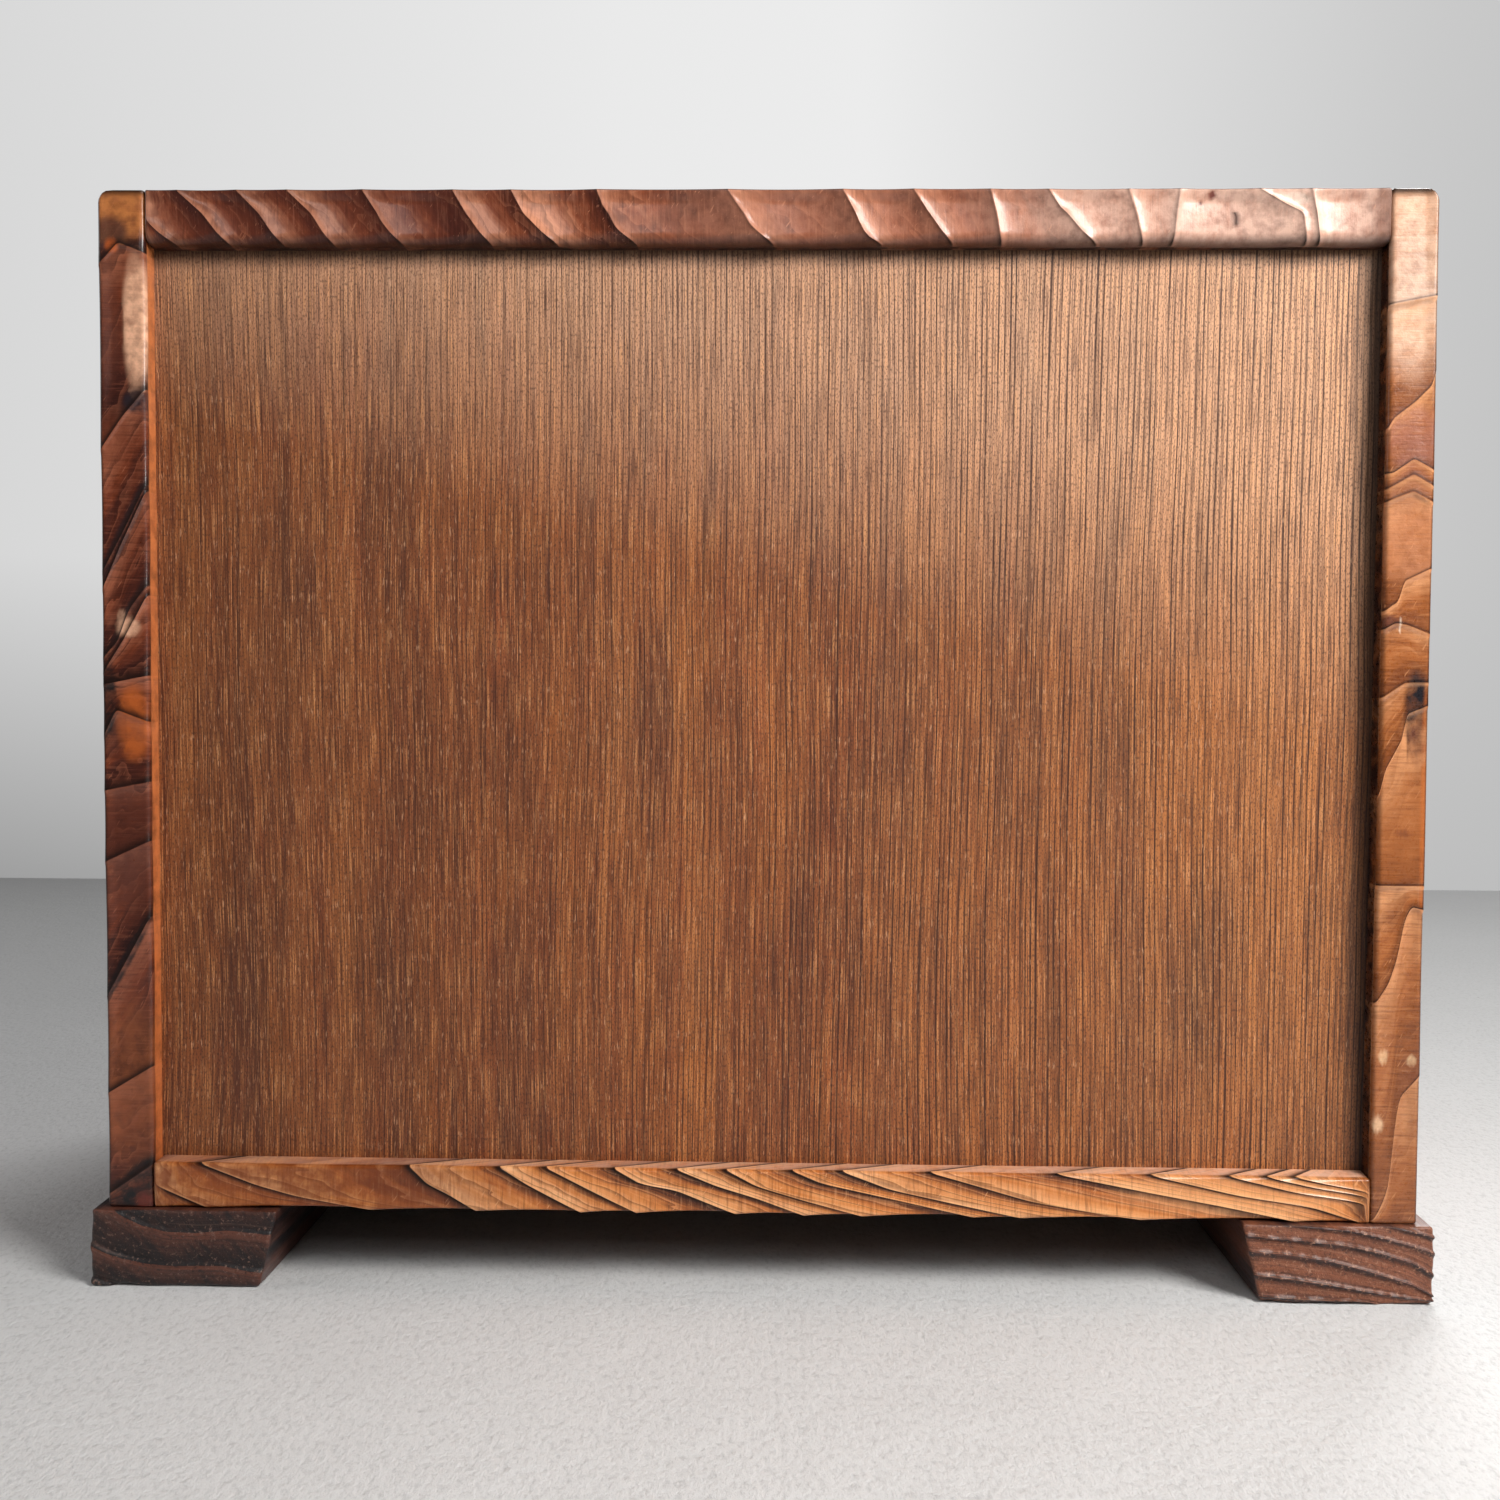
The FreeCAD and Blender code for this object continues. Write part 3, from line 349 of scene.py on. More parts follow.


class Cuts:
    """The gouge cuts on one edge of a board.

    A crest is a line across the edge: height and place by turns. The height runs from 0 to 1 across the
    board's thickness, and the place is in mm along the board. Depth is about how deep a wide cut goes, and a
    narrow cut's depth is a share of its width. Step is the part of a cut that drops at once behind its crest,
    or at its other end if flipped. Shade is the width and strength of the painted shadow line before a crest,
    and lip_highlight is the strength of the painted highlight on the lip after it. The marks are also painted
    darker at the board's ends.
    """

    def __init__(self, crests, length, seed, depth, share, step, flip, shade, lip_highlight):
        dice = np.random.default_rng(seed)
        self.length, self.depth, self.share, self.step = length, depth, share, step
        self.flip, self.shade, self.lip_highlight = flip, shade, lip_highlight
        lines = [np.zeros(LEVELS)]
        for crest in crests:
            line = np.interp(np.linspace(0, 1, LEVELS), crest[::2], crest[1::2])
            lines.append(np.convolve(np.pad(line, 3, mode="edge"), np.ones(7) / 7, "valid"))
        lines.append(np.full(LEVELS, length))
        least = 0.35
        for index in range(1, len(lines) - 1):
            lines[index] = np.clip(np.maximum(lines[index], lines[index - 1] + least), 0, length)
        for index in range(len(lines) - 1, 0, -1):
            lines[index - 1] = np.minimum(lines[index - 1], lines[index] - least)
        lines[0] = np.zeros(LEVELS)
        self.lines = np.array(lines)
        widths = np.diff(self.lines, axis=0).max(1)
        counts = np.maximum(6, np.round(widths / widths.sum() * STATIONS)).astype(int)
        while counts.sum() != STATIONS:
            counts[np.argmax(counts)] += np.sign(STATIONS - counts.sum())
        index, share_along = [], []
        for number, count in enumerate(counts):
            even = np.arange(count) / count
            index += [number] * count
            share_along += list(0.75 * (1 - np.cos(math.pi * even)) / 2 + 0.25 * even)
        self.index = np.array(index + [len(counts) - 1])
        self.share_along = np.array(share_along + [1.0])
        self.tones = dice.uniform(0, 1, len(counts))
        self.scale = dice.uniform(0.75, 1.15, len(counts))

    def row(self, height):
        """Places along the board, depths, cut numbers, tones and crest marks at one height on the edge."""
        at = height * (LEVELS - 1)
        low = min(int(at), LEVELS - 2)
        lines = self.lines[:, low] + (at - low) * (self.lines[:, low + 1] - self.lines[:, low])
        start, width = lines[self.index], np.diff(lines)[self.index]
        u = self.share_along
        place = start + u * width
        hollow = 4 * u * (1 - u)
        away = 1 - u if self.flip else u
        stepped = smooth_step(away * width / (0.8 if self.flip else 1.6)) * (1 - away) ** 1.1
        most = np.minimum(self.depth, self.share * width) * self.scale[self.index]
        depth = most * ((1 - self.step) * hollow + self.step * stepped)
        before = np.where(self.index == self.index.max(), 9.0, (1 - u) * width)
        after = np.where(self.index == 0, 9.0, u * width)
        wide, strong = self.shade
        end = np.minimum(place, self.length - place)
        fade = smooth_step(end / 5)
        mark = 0.5 - fade * strong * np.exp(-(before / wide) ** 2)
        mark = mark + fade * self.lip_highlight * np.exp(-((after - 0.5) / 0.6) ** 2) - 0.25 * np.exp(-end / 0.7)
        return place, depth, self.index + u, self.tones[self.index], np.clip(mark, 0, 1)


def edge_profile(upper_round, lower_round, grooves, extra):
    """A board's section as rows: depth y, level w, outward normal, kind, height on the edge and front share.

    The rows run down the rear edge, under the board, up the front edge and back over the top.
    """
    rows, steps = [], 22
    turn = [math.radians(a) for a in (0, 22, 45, 68)]
    inner = THICK - upper_round - lower_round

    def edge(side, kind):
        """One hewn edge with its two rounded arrises, from the upper face down."""
        found = [(HALF - upper_round + upper_round * math.sin(a),
                  THICK - upper_round + upper_round * math.cos(a), math.sin(a), math.cos(a)) for a in turn]
        found += [(HALF, THICK - upper_round - inner * step / steps, 1, 0) for step in range(steps + 1)]
        found += [(HALF - lower_round + lower_round * math.sin(a), lower_round - lower_round * math.cos(a),
                   math.sin(a), -math.cos(a)) for a in reversed(turn)]
        for y, w, ny, nw in found[::side]:
            rows.append((side * y, w, side * ny, nw, kind, 1 - w / THICK, float(kind == FRONT)))

    def across(reach, count):
        """Where the rows across a broad face lie, from the rear: closer together beside its edges."""
        near = [reach - d for d in (1.0, 2.2, 4, 6, 8.5, 12)]
        return near + list(np.linspace(reach - 24, 24 - reach, count)) + [-y for y in reversed(near)]

    edge(1, REAR)
    reach = HALF - lower_round
    under = across(reach, 12) + list(extra)
    for low, high in grooves:
        under = [y for y in under if not low - 0.6 < y < high + 0.6]
    marks = [(y, UNDER) for y in under]
    for low, high in grooves:
        marks += [(high, UNDER), (high - 0.02, GROOVE), (low + 0.02, GROOVE), (low, UNDER)]
    for y, kind in sorted(marks, key=lambda m: -m[0]):
        rows.append((y, 0.0, 0, -1, kind, 1.0, (reach - y) / (2 * reach)))
    edge(-1, FRONT)
    reach = HALF - upper_round
    return rows + [(y, THICK, 0, 1, OVER, 0.0, (reach - y) / (2 * reach)) for y in across(reach, 22)[::-1]]


def stain_and_highlight_colours(stains_and_highlights, place, height, is_edge):
    """Local colours, and their strength, at places on one row of a photographed edge."""
    colour = np.zeros((len(place), 4))
    for at, across, run, rise, slant, tint, strength in stains_and_highlights:
        far = ((place - at - slant * (height - across)) / run) ** 2 + ((height - across) / rise) ** 2
        amount = strength * is_edge * smooth_step((1.25 - np.sqrt(far)) / 0.55)
        share = np.where(colour[:, 3] > 0, amount, 1)[:, None]
        colour[:, :3] += (np.array(linear(tint)[:3]) - colour[:, :3]) * share
        colour[:, 3] = np.maximum(colour[:, 3], amount)
    return colour


def hewn_board(name, node, edges, stains_and_highlights, material, seed, rounds, arrises, drop, calm=True, outer_round=0.0,
               grooves=(), groove_run=(), groove_deep=0.0, strip=0.0, sag=0.0, recess=None, underside=None,
               crown=None):
    """A board whose rear and front edges are hewn. Places run from the photographed left or upper end.

    Heights on an edge run from the board's outer or upper face. Rounds and arrises are the radius and the
    painted darkness of the two arrises: painted shade on the lower or inner one, and a dark line in place of
    shine on the upper or outer one. Drop is how far a cut pulls its arris down. Calm cuts fade out at the
    outer or upper arris. Strip spreads the cuts' lines over the upper face beside the rear edge. Sag is how
    far the rear edge hangs below the board. Recess, underside and crown are the colour at the photographed
    left and right end, and its strength: for the strip between the rear edge and the back panel, painted
    shade, but painted light on the photographed left board; for the whole lower face, painted shade; and
    for the strip above the rear edge.
    """
    low, high = box_mm(node)
    upright = node.endswith("side_board")
    length = (high - low)[2 if upright else 0]
    rear, front = edges
    top, foot = ([cuts.row(height)[0] for cuts in edges] for height in (0.0, 1.0))
    rows = edge_profile(*rounds, grooves, (LIP + 0.3,) if sag else ())
    points, cut, line, edge, stain = [], [], [], [], []
    for y, w, ny, nw, kind, height, share in rows:
        at_rear, on_edge = share < 0.5, kind in (REAR, FRONT)
        place, depth, number, tone, mark = (front if share > 0.5 else rear).row(height)
        fall = 1.0
        if not on_edge:
            start, end = top if kind == OVER else foot
            place = start + (end - start) * smooth_step(share)
            away = HALF - rounds[0 if kind == OVER else 1] - abs(y)
            fall = float(max(0, 1 - away / 7) ** 2)
            if kind == OVER and y > 0 and strip:
                reach = min(away, 14) / 14 * strip
                place = place + reach * (1 - np.exp(-place / 12)) * (1 - np.exp(-(length - place) / 45))
        if calm and on_edge:
            depth = depth * (0.3 + 0.7 * smooth_step(height * 3.5))
        depth = depth + 0.22 * (1 + wander(seed + 5 + (share > 0.5), place * 0.11, height * 2.3))
        y_now = y - (1 if at_rear else -1) * depth * fall
        slope = 1 - 2 * height if on_edge else (1 if kind == OVER else -1)
        level = w - depth * drop * fall * slope * abs(slope) ** 2
        if kind == REAR:
            level = level - sag * smooth_step((0.55 - w / THICK) / 0.4)
        elif kind == UNDER and y > LIP:
            level = level - sag
        if kind in (UNDER, OVER):
            level = level - slope * 0.07 * (1 + wander(seed + 9, place * 0.05, y * 0.045))
        if kind == GROOVE:
            level = np.where((place > groove_run[0]) & (place < groove_run[1]), groove_deep, level)
        # The ends: a small rounding all round, and a larger one on a side board's upper outer edge.
        for gap in (place, length - place):
            off = rounding(gap, 0.9)
            y_now = y_now - off * ny
            level = level - off * nw * (kind != GROOVE)
        # Painted darkness on the arrises: shade on the lower or inner one, a dark line in place of shine on
        # the others.
        arris = arrises[0] * max(nw, 0) + arrises[1] * max(-nw, 0) if on_edge else 0.0
        if outer_round:
            off = rounding(place, outer_round)
            level = level * (1 - off / THICK)
            arris = np.maximum(arris, 0.65 * smooth_step(off / 1.5) * (on_edge or kind == OVER))
        if upright:
            x, z = (low[0] + THICK - level if low[0] < 0 else high[0] - THICK + level), high[2] - place
        else:
            x, z = high[0] - place, low[2] + level
        points.append(np.stack([x, y_now, z], 1))
        cut.append(np.stack([number, np.full_like(number, height), tone], 1))
        is_edge, laid = float(on_edge), None
        # The recess strip and the underside are painted shade, but the photographed left board's recess is
        # painted light.
        if kind == UNDER and y > 0:
            is_edge = fall
            laid = recess if y > RECESS else None
        if kind == OVER:
            is_edge = float(away < 11) if strip and y > 0 else min(1.0, 1.6 * fall)
            laid = crown if y > CROWN else None
        if kind in (UNDER, GROOVE):
            laid = underside or laid
        is_edge = 1.0 if laid else is_edge
        edge.append(np.full_like(place, is_edge))
        marked = 0.0 if laid and kind != OVER else is_edge
        line.append(np.clip(0.5 + (mark - 0.5) * marked - 0.5 * arris, 0, 1))
        colour = stain_and_highlight_colours(stains_and_highlights if at_rear else (), place, height, is_edge)
        if laid:
            first, last, strength = laid
            to_end = (place / length)[:, None]
            colour[:, :3] = np.array(linear(first)[:3]) * (1 - to_end) + np.array(linear(last)[:3]) * to_end
            colour[:, 3] = strength
        stain.append(colour)
    starts = np.arange(len(rows)) * (STATIONS + 1)
    faces = [(a + k, a + k + 1, b + k + 1, b + k)
             for a, b in zip(starts.tolist(), np.roll(starts, -1).tolist()) for k in range(STATIONS)]
    faces += [tuple(starts.tolist()), tuple((starts + STATIONS).tolist()[::-1])]
    if low[0] < 0:
        faces = [face[::-1] for face in faces]
    add_piece(name, np.concatenate(points), faces, "case", material, "hewn_cedar", node, flat=(-2, -1),
              cut=np.concatenate(cut), edge=np.concatenate(edge), line=np.concatenate(line),
              stain=np.concatenate(stain))


def spread_crests(seed, length, pitch, run):
    """Crests for an edge that the photograph doesn't show, cut by the same hand."""
    dice = np.random.default_rng(seed)
    crests, place = [], pitch * dice.uniform(0.3, 0.8) - max(run, 0) * 0.5
    while place < length - 4:
        lean = run * dice.uniform(0.75, 1.25)
        bend = dice.uniform(0.35, 0.65)
        crests.append((0.0, place, 0.62, place + lean * bend, 1.0, place + lean))
        place += pitch * dice.uniform(0.75, 1.25)
    return crests


TOP_CRESTS = [
    (0.6, 0.6, 1.0, 10), (0, 10, 1, 27), (0, 29, 1, 44), (0, 45, 0.5, 53, 1, 60), (0, 69, 0.6, 75, 1, 82),
    (0, 97.5, 0.5, 102, 1, 110), (0, 116, 0.5, 120, 1, 131), (0, 143, 0.35, 145, 0.7, 149, 1, 156),
    (0, 184, 0.3, 187, 0.65, 191, 0.78, 194, 1, 199), (0, 220, 0.6, 225, 0.85, 228, 1, 233),
    (0, 242, 0.5, 247, 1, 255), (0, 266, 1, 270), (0, 284, 0.4, 288, 0.72, 294, 1, 300), (0, 309, 1, 314),
    (0, 325, 1, 323), (0, 349, 0.35, 358, 0.5, 363, 1, 364.5), (0, 365.5, 1, 368.5),
]
BOTTOM_CRESTS = [
    (0.5, 0.8, 1, 18), (0, 15, 0.47, 33, 0.72, 47, 1, 72), (0, 83, 0.4, 89, 0.63, 96, 1, 105),
    (0, 112, 0.38, 121, 1, 139), (0, 127, 0.47, 141, 1, 157), (0, 149, 0.35, 158, 0.47, 169, 1, 189),
    (0, 169, 0.37, 182, 0.62, 195, 1, 211), (0, 185, 0.36, 195, 0.63, 209, 1, 230),
    (0, 206, 0.28, 216, 0.65, 242, 1, 266), (0, 222, 0.4, 238, 0.72, 261, 1, 281),
    (0, 250, 0.62, 283, 0.88, 306, 1, 320), (0, 290, 0.35, 317, 0.67, 344, 1, 368),
    (0, 320, 0.44, 349, 0.66, 372, 1, 388), (0, 345, 0.36, 367, 0.54, 388, 1, 389),
    (0, 357, 0.25, 373, 0.4, 389, 1, 389.3), (0, 366, 0.18, 378, 0.3, 389.4, 1, 389.6),
]
LEFT_PHOTO_CRESTS = [
    (0, 23.6, 0.45, 16.6, 1, 19.8), (0, 82, 0.5, 71, 1, 62.2), (0, 121, 0.6, 104, 1, 92),
    (0, 126.5, 0.45, 111, 1, 94), (0, 148, 0.35, 142, 0.6, 132, 1, 124), (0, 152.8, 0.5, 141, 1, 127),
    (0, 156, 1, 153), (0, 173, 0.3, 164, 1, 168), (0, 190, 1, 187), (0, 213, 1, 206), (0, 257, 1, 230),
    (0, 288, 1, 279), (0, 321, 1, 310.7),
]
RIGHT_PHOTO_CRESTS = [
    (0, 33, 1, 36), (0, 54.2, 0.09, 60.5, 0.44, 65.8, 0.9, 71.2, 1, 74.6),
    (0, 87, 0.44, 83.4, 0.87, 87.9, 1, 88), (0, 92, 0.44, 88.2, 0.87, 92, 1, 93),
    (0, 97, 0.44, 93.5, 0.87, 96, 1, 97), (0, 117.2, 0.6, 121.5, 0.68, 127.5, 1, 131),
    (0, 138, 0.5, 135, 0.75, 134.4, 1, 136.6), (0, 153, 0.35, 152.9, 0.53, 153.2, 1, 158),
    (0, 160, 0.49, 163, 0.53, 169.9, 0.93, 181.5, 1, 190.3), (0, 217, 1, 217),
    (0, 224.6, 0.28, 223.6, 0.42, 228, 0.55, 240, 0.72, 248.2, 1, 254.8),
    (0, 276.8, 0.45, 284.5, 0.56, 297, 0.6, 311, 0.74, 318, 0.9, 323, 1, 324.4),
]

# Local colours on the photographed edges: place, height, run, rise, slant, colour, strength.
# Some are painted highlights: the near-white marks at the top board's right end and on the photographed right
# board.
TOP_STAINS_AND_HIGHLIGHTS = [
    (30, 0.5, 80, 1.5, 0, (86, 40, 30), 0.55), (235, 0.5, 70, 1.5, 0, (188, 126, 100), 0.5),
    (350, 0.5, 80, 1.5, 0, (228, 188, 168), 0.78), (334.8, 0.12, 1.1, 0.09, 0, (104, 44, 36), 1.0),
    (331, 0.3, 0.7, 0.07, 0, (90, 40, 32), 1.0), (342.6, 0.55, 0.8, 0.14, 3, (28, 18, 18), 1.0),
    (360, 0.2, 5, 0.12, 9, (250, 226, 208), 0.8), (370.5, 0.5, 0.7, 0.5, 2, (246, 220, 200), 0.7),
    (388, 0.5, 3, 0.9, 0, (120, 70, 50), 0.6),
]
BOTTOM_STAINS = [
    (20, 0.5, 85, 1.5, 0, (122, 56, 18), 0.82), (352, 0.4, 40, 0.5, 0, (232, 168, 114), 0.45),
]
LEFT_PHOTO_STAINS = [
    (5, 0.5, 10, 0.9, 0, (196, 122, 66), 0.85), (14, 0.25, 6, 0.4, 0, (72, 46, 42), 0.85),
    (17.5, 0.3, 2.4, 0.14, 0, (205, 100, 44), 0.9), (42, 0.12, 22, 0.3, 0, (94, 52, 40), 0.65),
    (41, 0.8, 20, 0.3, 0, (234, 180, 146), 1.0), (66, 0.8, 4, 0.3, 0, (38, 30, 36), 0.95),
    (78, 0.25, 9, 0.4, 0, (116, 58, 36), 0.7), (107, 0.5, 5, 0.65, -29, (42, 25, 26), 0.9),
    (138, 0.45, 4.5, 0.6, -29, (50, 28, 26), 0.85), (137.5, 0.56, 3.2, 0.26, 0, (204, 156, 126), 1.0),
    (134, 0.42, 2.2, 0.1, 0, (206, 160, 130), 0.9), (170, 0.2, 9, 0.25, 0, (60, 32, 28), 0.7),
    (209, 0.5, 22, 0.8, 0, (90, 44, 30), 0.8), (168, 0.66, 12, 0.36, 0, (190, 96, 40), 0.8),
    (160, 0.1, 15, 0.2, 0, (24, 16, 17), 1.0), (243, 0.5, 3.6, 0.65, -26.5, (26, 17, 19), 0.95),
    (284, 0.5, 26, 0.8, 0, (140, 76, 42), 0.65), (317, 0.62, 7, 0.6, -12, (20, 18, 20), 1.0),
    (323, 0.8, 3, 0.2, 0, (110, 48, 38), 0.9),
]
# The near-white marks here are painted highlights on ridges and near the board's top.
RIGHT_PHOTO_STAINS_AND_HIGHLIGHTS = [
    (25, 0.5, 32, 0.9, 0, (238, 200, 172), 0.6), (77, 0.45, 10, 0.6, 0, (160, 102, 84), 0.6),
    (93, 0.5, 6, 0.5, 0, (142, 92, 70), 0.5), (161, 0.26, 12, 0.25, 0, (28, 25, 30), 1.0),
    (108, 0.5, 13, 1.2, 0, (208, 140, 100), 0.5), (195, 0.55, 18, 0.9, 0, (160, 96, 54), 0.4),
    (170, 0.4, 7, 0.045, 40, (36, 24, 22), 0.9), (134.5, 0.86, 2.6, 0.2, 0, (96, 54, 44), 0.9),
    (135, 0.64, 2.4, 0.025, 0, (250, 226, 204), 0.9), (190, 0.08, 34, 0.07, 0, (196, 104, 44), 0.7),
    (172, 0.22, 8, 0.2, 0, (120, 70, 50), 0.6), (200.4, 0.5, 1.2, 0.2, 0, (110, 60, 40), 0.8),
    (271.7, 0.78, 2, 0.1, 0, (236, 196, 150), 0.8), (272.5, 0.2, 1.6, 0.1, 0, (236, 196, 150), 0.7),
    (293, 0.88, 2.6, 0.12, 0, (240, 200, 160), 0.7),
]


def case_boards():
    """The four hewn boards. The photograph shows the back, so its left board is the cabinet's right side."""

    def edges(length, seed, crests, unseen, depth, share, steps, *marks):
        """A board's cuts: on the rear edge as photographed, and on the front edge by the same hand."""
        both = crests, spread_crests(unseen[0], length, *unseen[1:])
        return [Cuts(both[n], length, seed + n, depth, share, steps[n], *marks) for n in (0, 1)]

    top = hewn("cedar_top", "X", ((70, 33, 25), (140, 73, 46), (206, 139, 106), (108, 53, 34)),
               ((150, 92, 56), (120, 68, 40), (74, 38, 25), 0.0065, (0.0, 0.02, -0.21)), (2.0, 0.3))
    bottom = hewn("cedar_bottom", "X", ((84, 42, 24), (216, 138, 76), (240, 178, 126), (190, 108, 50)),
                  ((118, 76, 48), (92, 56, 36), (60, 34, 24), 0.0055, (0.0, 0.05, 0.02)), (3.0, 0.55))
    right = hewn("cedar_right_side", "Z", ((50, 21, 17), (116, 54, 30), (160, 96, 70), (84, 38, 25)),
                 ((148, 90, 55), (118, 64, 38), (72, 36, 24), 0.006, (-0.07, 0.02, 0.0)), (2.3, 0.5))
    left = hewn("cedar_left_side", "Z", ((116, 62, 32), (166, 98, 52), (206, 144, 98), (142, 80, 38)),
                ((158, 98, 58), (128, 72, 42), (80, 42, 27), 0.006, (0.08, -0.03, 0.0)), (1.4, 0.22),
                gloss=0.26)
    # Recess and underside colours below are painted shade, except the photographed left board's recess:
    # painted light.
    hewn_board("top_board_hewn", "top_board",
               edges(TOP_LENGTH, 11, TOP_CRESTS, (21, 27, 12), 2.2, 0.09, (0.12, 0.12), False,
                     (0.9, 0.3), 0.1),
               TOP_STAINS_AND_HIGHLIGHTS, top, 31, (0.5, 3.4), (1.0, 0.8), 0.07,
               grooves=((-117.8, -112.2), (-105.8, -100.2)), groove_run=(158.0, 390.0), groove_deep=7.0,
               sag=2.0, recess=((22, 10, 8), (22, 10, 8), 1.0))
    hewn_board("bottom_board_hewn", "bottom_board",
               edges(TOP_LENGTH, 13, BOTTOM_CRESTS, (22, 26, 40), 1.1, 0.05, (0.6, 0.6), True,
                     (3.4, 0.55), 0.25),
               BOTTOM_STAINS, bottom, 41, (1.2, 1.0), (0.0, 0.0), 0.7, calm=False, strip=38.0,
               underside=((24, 13, 10), (24, 13, 10), 1.0), crown=((158, 112, 96), (240, 194, 168), 0.7))
    hewn_board("right_side_hewn", "right_side_board",
               edges(SIDE_LENGTH, 15, LEFT_PHOTO_CRESTS, (23, 30, -22), 1.5, 0.05, (0.35, 0.35), False,
                     (2.0, 0.5), 0.08),
               LEFT_PHOTO_STAINS, right, 51, (1.2, 1.6), (0.9, 0.0), 0.2, outer_round=4.0,
               recess=((226, 136, 78), (222, 124, 66), 0.72))
    hewn_board("left_side_hewn", "left_side_board",
               edges(SIDE_LENGTH, 17, RIGHT_PHOTO_CRESTS, (24, 28, 20), 1.3, 0.05, (0.8, 0.6), False,
                     (0.7, 0.5), 0.35),
               RIGHT_PHOTO_STAINS_AND_HIGHLIGHTS, left, 61, (1.2, 1.4), (0.9, 0.3), 0.2, outer_round=4.0,
               recess=((34, 12, 8), (34, 12, 8), 1.0))


case_boards()


# ---- skids

def block(size, counts, radius):
    """A closed box of small quads with rounded edges: points, in mm from its lowest corner, and faces."""
    lines = []
    for length, count in zip(size, counts):
        ends = np.array([0, 0.3, 0.7]) * radius
        lines.append(np.concatenate([ends, np.linspace(radius, length - radius, count), length - ends[::-1]]))
    numbers, faces = {}, []
    for axis in range(3):
        u, v = (axis + 1) % 3, (axis + 2) % 3
        for side in (0, len(lines[axis]) - 1):
            for a in range(len(lines[u]) - 1):
                for b in range(len(lines[v]) - 1):
                    ring = []
                    for da, db in ((0, 0), (1, 0), (1, 1), (0, 1)):
                        where = [0, 0, 0]
                        where[axis], where[u], where[v] = side, a + da, b + db
                        ring.append(numbers.setdefault(tuple(where), len(numbers)))
                    faces.append(ring if side else ring[::-1])
    flat = np.array([[line[n] for line, n in zip(lines, where)] for where in numbers])
    inner = np.clip(flat, radius, np.array(size) - radius)
    out = flat - inner
    return inner + out / np.maximum(np.linalg.norm(out, axis=1, keepdims=True), 1e-9) * radius, faces


def ring_phase(lines, across, level):
    """The number of growth-ring lines below each point, with its share of the way to the next."""
    heights = [np.interp(across, line[::2], line[1::2]) for line in lines]
    phase = np.zeros_like(across)
    for low, high in zip(heights[:-1], heights[1:]):
        phase = phase + np.clip((level - low) / np.maximum(high - low, 0.2), 0, 1)
    return phase


# Growth rings on the skids' photographed ends, lowest first: place from the outer side and level, by turns.
RIGHT_SKID_RINGS = [
    (0, 2, 20, -3.5, 61, -5), (0, 13.6, 6.5, 10.7, 11, 9.4, 20, 7.8, 30, 7.2, 46, 7.5, 57, 5.6, 61, 5.2),
    (0, 29, 6.5, 26, 12, 22.8, 17.5, 20.3, 26, 18.3, 36, 18, 46, 19, 61, 17.7), (0, 40, 20, 31, 61, 29),
]
LEFT_SKID_RINGS = [
    (0, -7, 61, -3), (0, -2, 30, 1, 61, 2.5), (0, 1.5, 20, 4, 33, 6, 46, 8, 61, 9.5),
    (0, 3, 8, 7, 22, 11, 36, 14.5, 50, 16.3, 61, 17), (0, 10, 8, 14, 18, 17, 30, 19.5, 61, 22),
    (0, 17, 8, 19.5, 16, 21.5, 27, 24, 61, 27), (0, 22, 14, 25.5, 61, 31), (0, 29, 61, 38),
]


def skid_paint(name, deep, base, lit, ridged):
    """Dark oiled cedar: banded end grain, and straight dark grain along the sides."""
    s = Shader(name, Coat_Weight=0.2, Coat_Roughness=0.3, Specular_IOR_Level=0.4)
    place, phase = s.place(), s.attribute("phase")
    share = s.math("FRACT", phase)
    grit = s.spots(place, (800, 300, 800), 4, 0.7)
    # The bands are partly the rings' own colour and partly painted: a highlight on each ridge and shade
    # beside it.
    bands = s.ramp(share, *ridged)
    cloud = s.spots(place, (60, 20, 60), 3, 0.6, 0.6)
    wood = s.lay(deep, (s.add(s.mul(bands, 0.7), s.mul(cloud, 0.45)), base, (0.2, 0.0), (0.85, 1.0)))
    saw = s.spots(s.turned(place, -38), (520, 10, 60), 3, 0.55)
    marks = s.mul(s.ramp(saw, (0.38, 0.85), (0.52, 0.0)), s.ramp(bands, (0.25, 1.0), (0.8, 0.15)))
    fine = s.noise(s.join(s.mul(phase, 9.0), 0.0, s.mul(s.split(place)[0], 25.0)), 3, 0.6)
    wood = s.lay(s.mix(marks, wood, deep), (fine, deep, (0.34, 0.5), (0.48, 0.0)),
                 (fine, lit, (0.56, 0.0), (0.7, 0.3)), (share, (12, 8, 8), (0.0, 1.0), (0.05, 0.0)),
                 (grit, lit, (0.57, 0.0), (0.67, 0.85)), (grit, deep, (0.34, 0.7), (0.44, 0.0)))
    fibre = s.spots(place, (1300, 20, 1300), 3, 0.6)
    streak = s.spots(place, (160, 5, 160), 3, 0.6)
    side = s.lay(deep, (streak, base, (0.35, 0.0), (0.7, 1.0)), (fibre, lit, (0.6, 0.0), (0.8, 0.4)))
    end = s.attribute("edge")
    height = s.mix(end, s.mix(0.5, fibre, streak), s.mix(0.4, grit, s.mix(0.5, saw, fine)))
    return s.finish(s.mix(end, side, wood), s.ramp(grit, (0.2, 0.36), (0.8, 0.6)), height, 0.0008, 0.9)


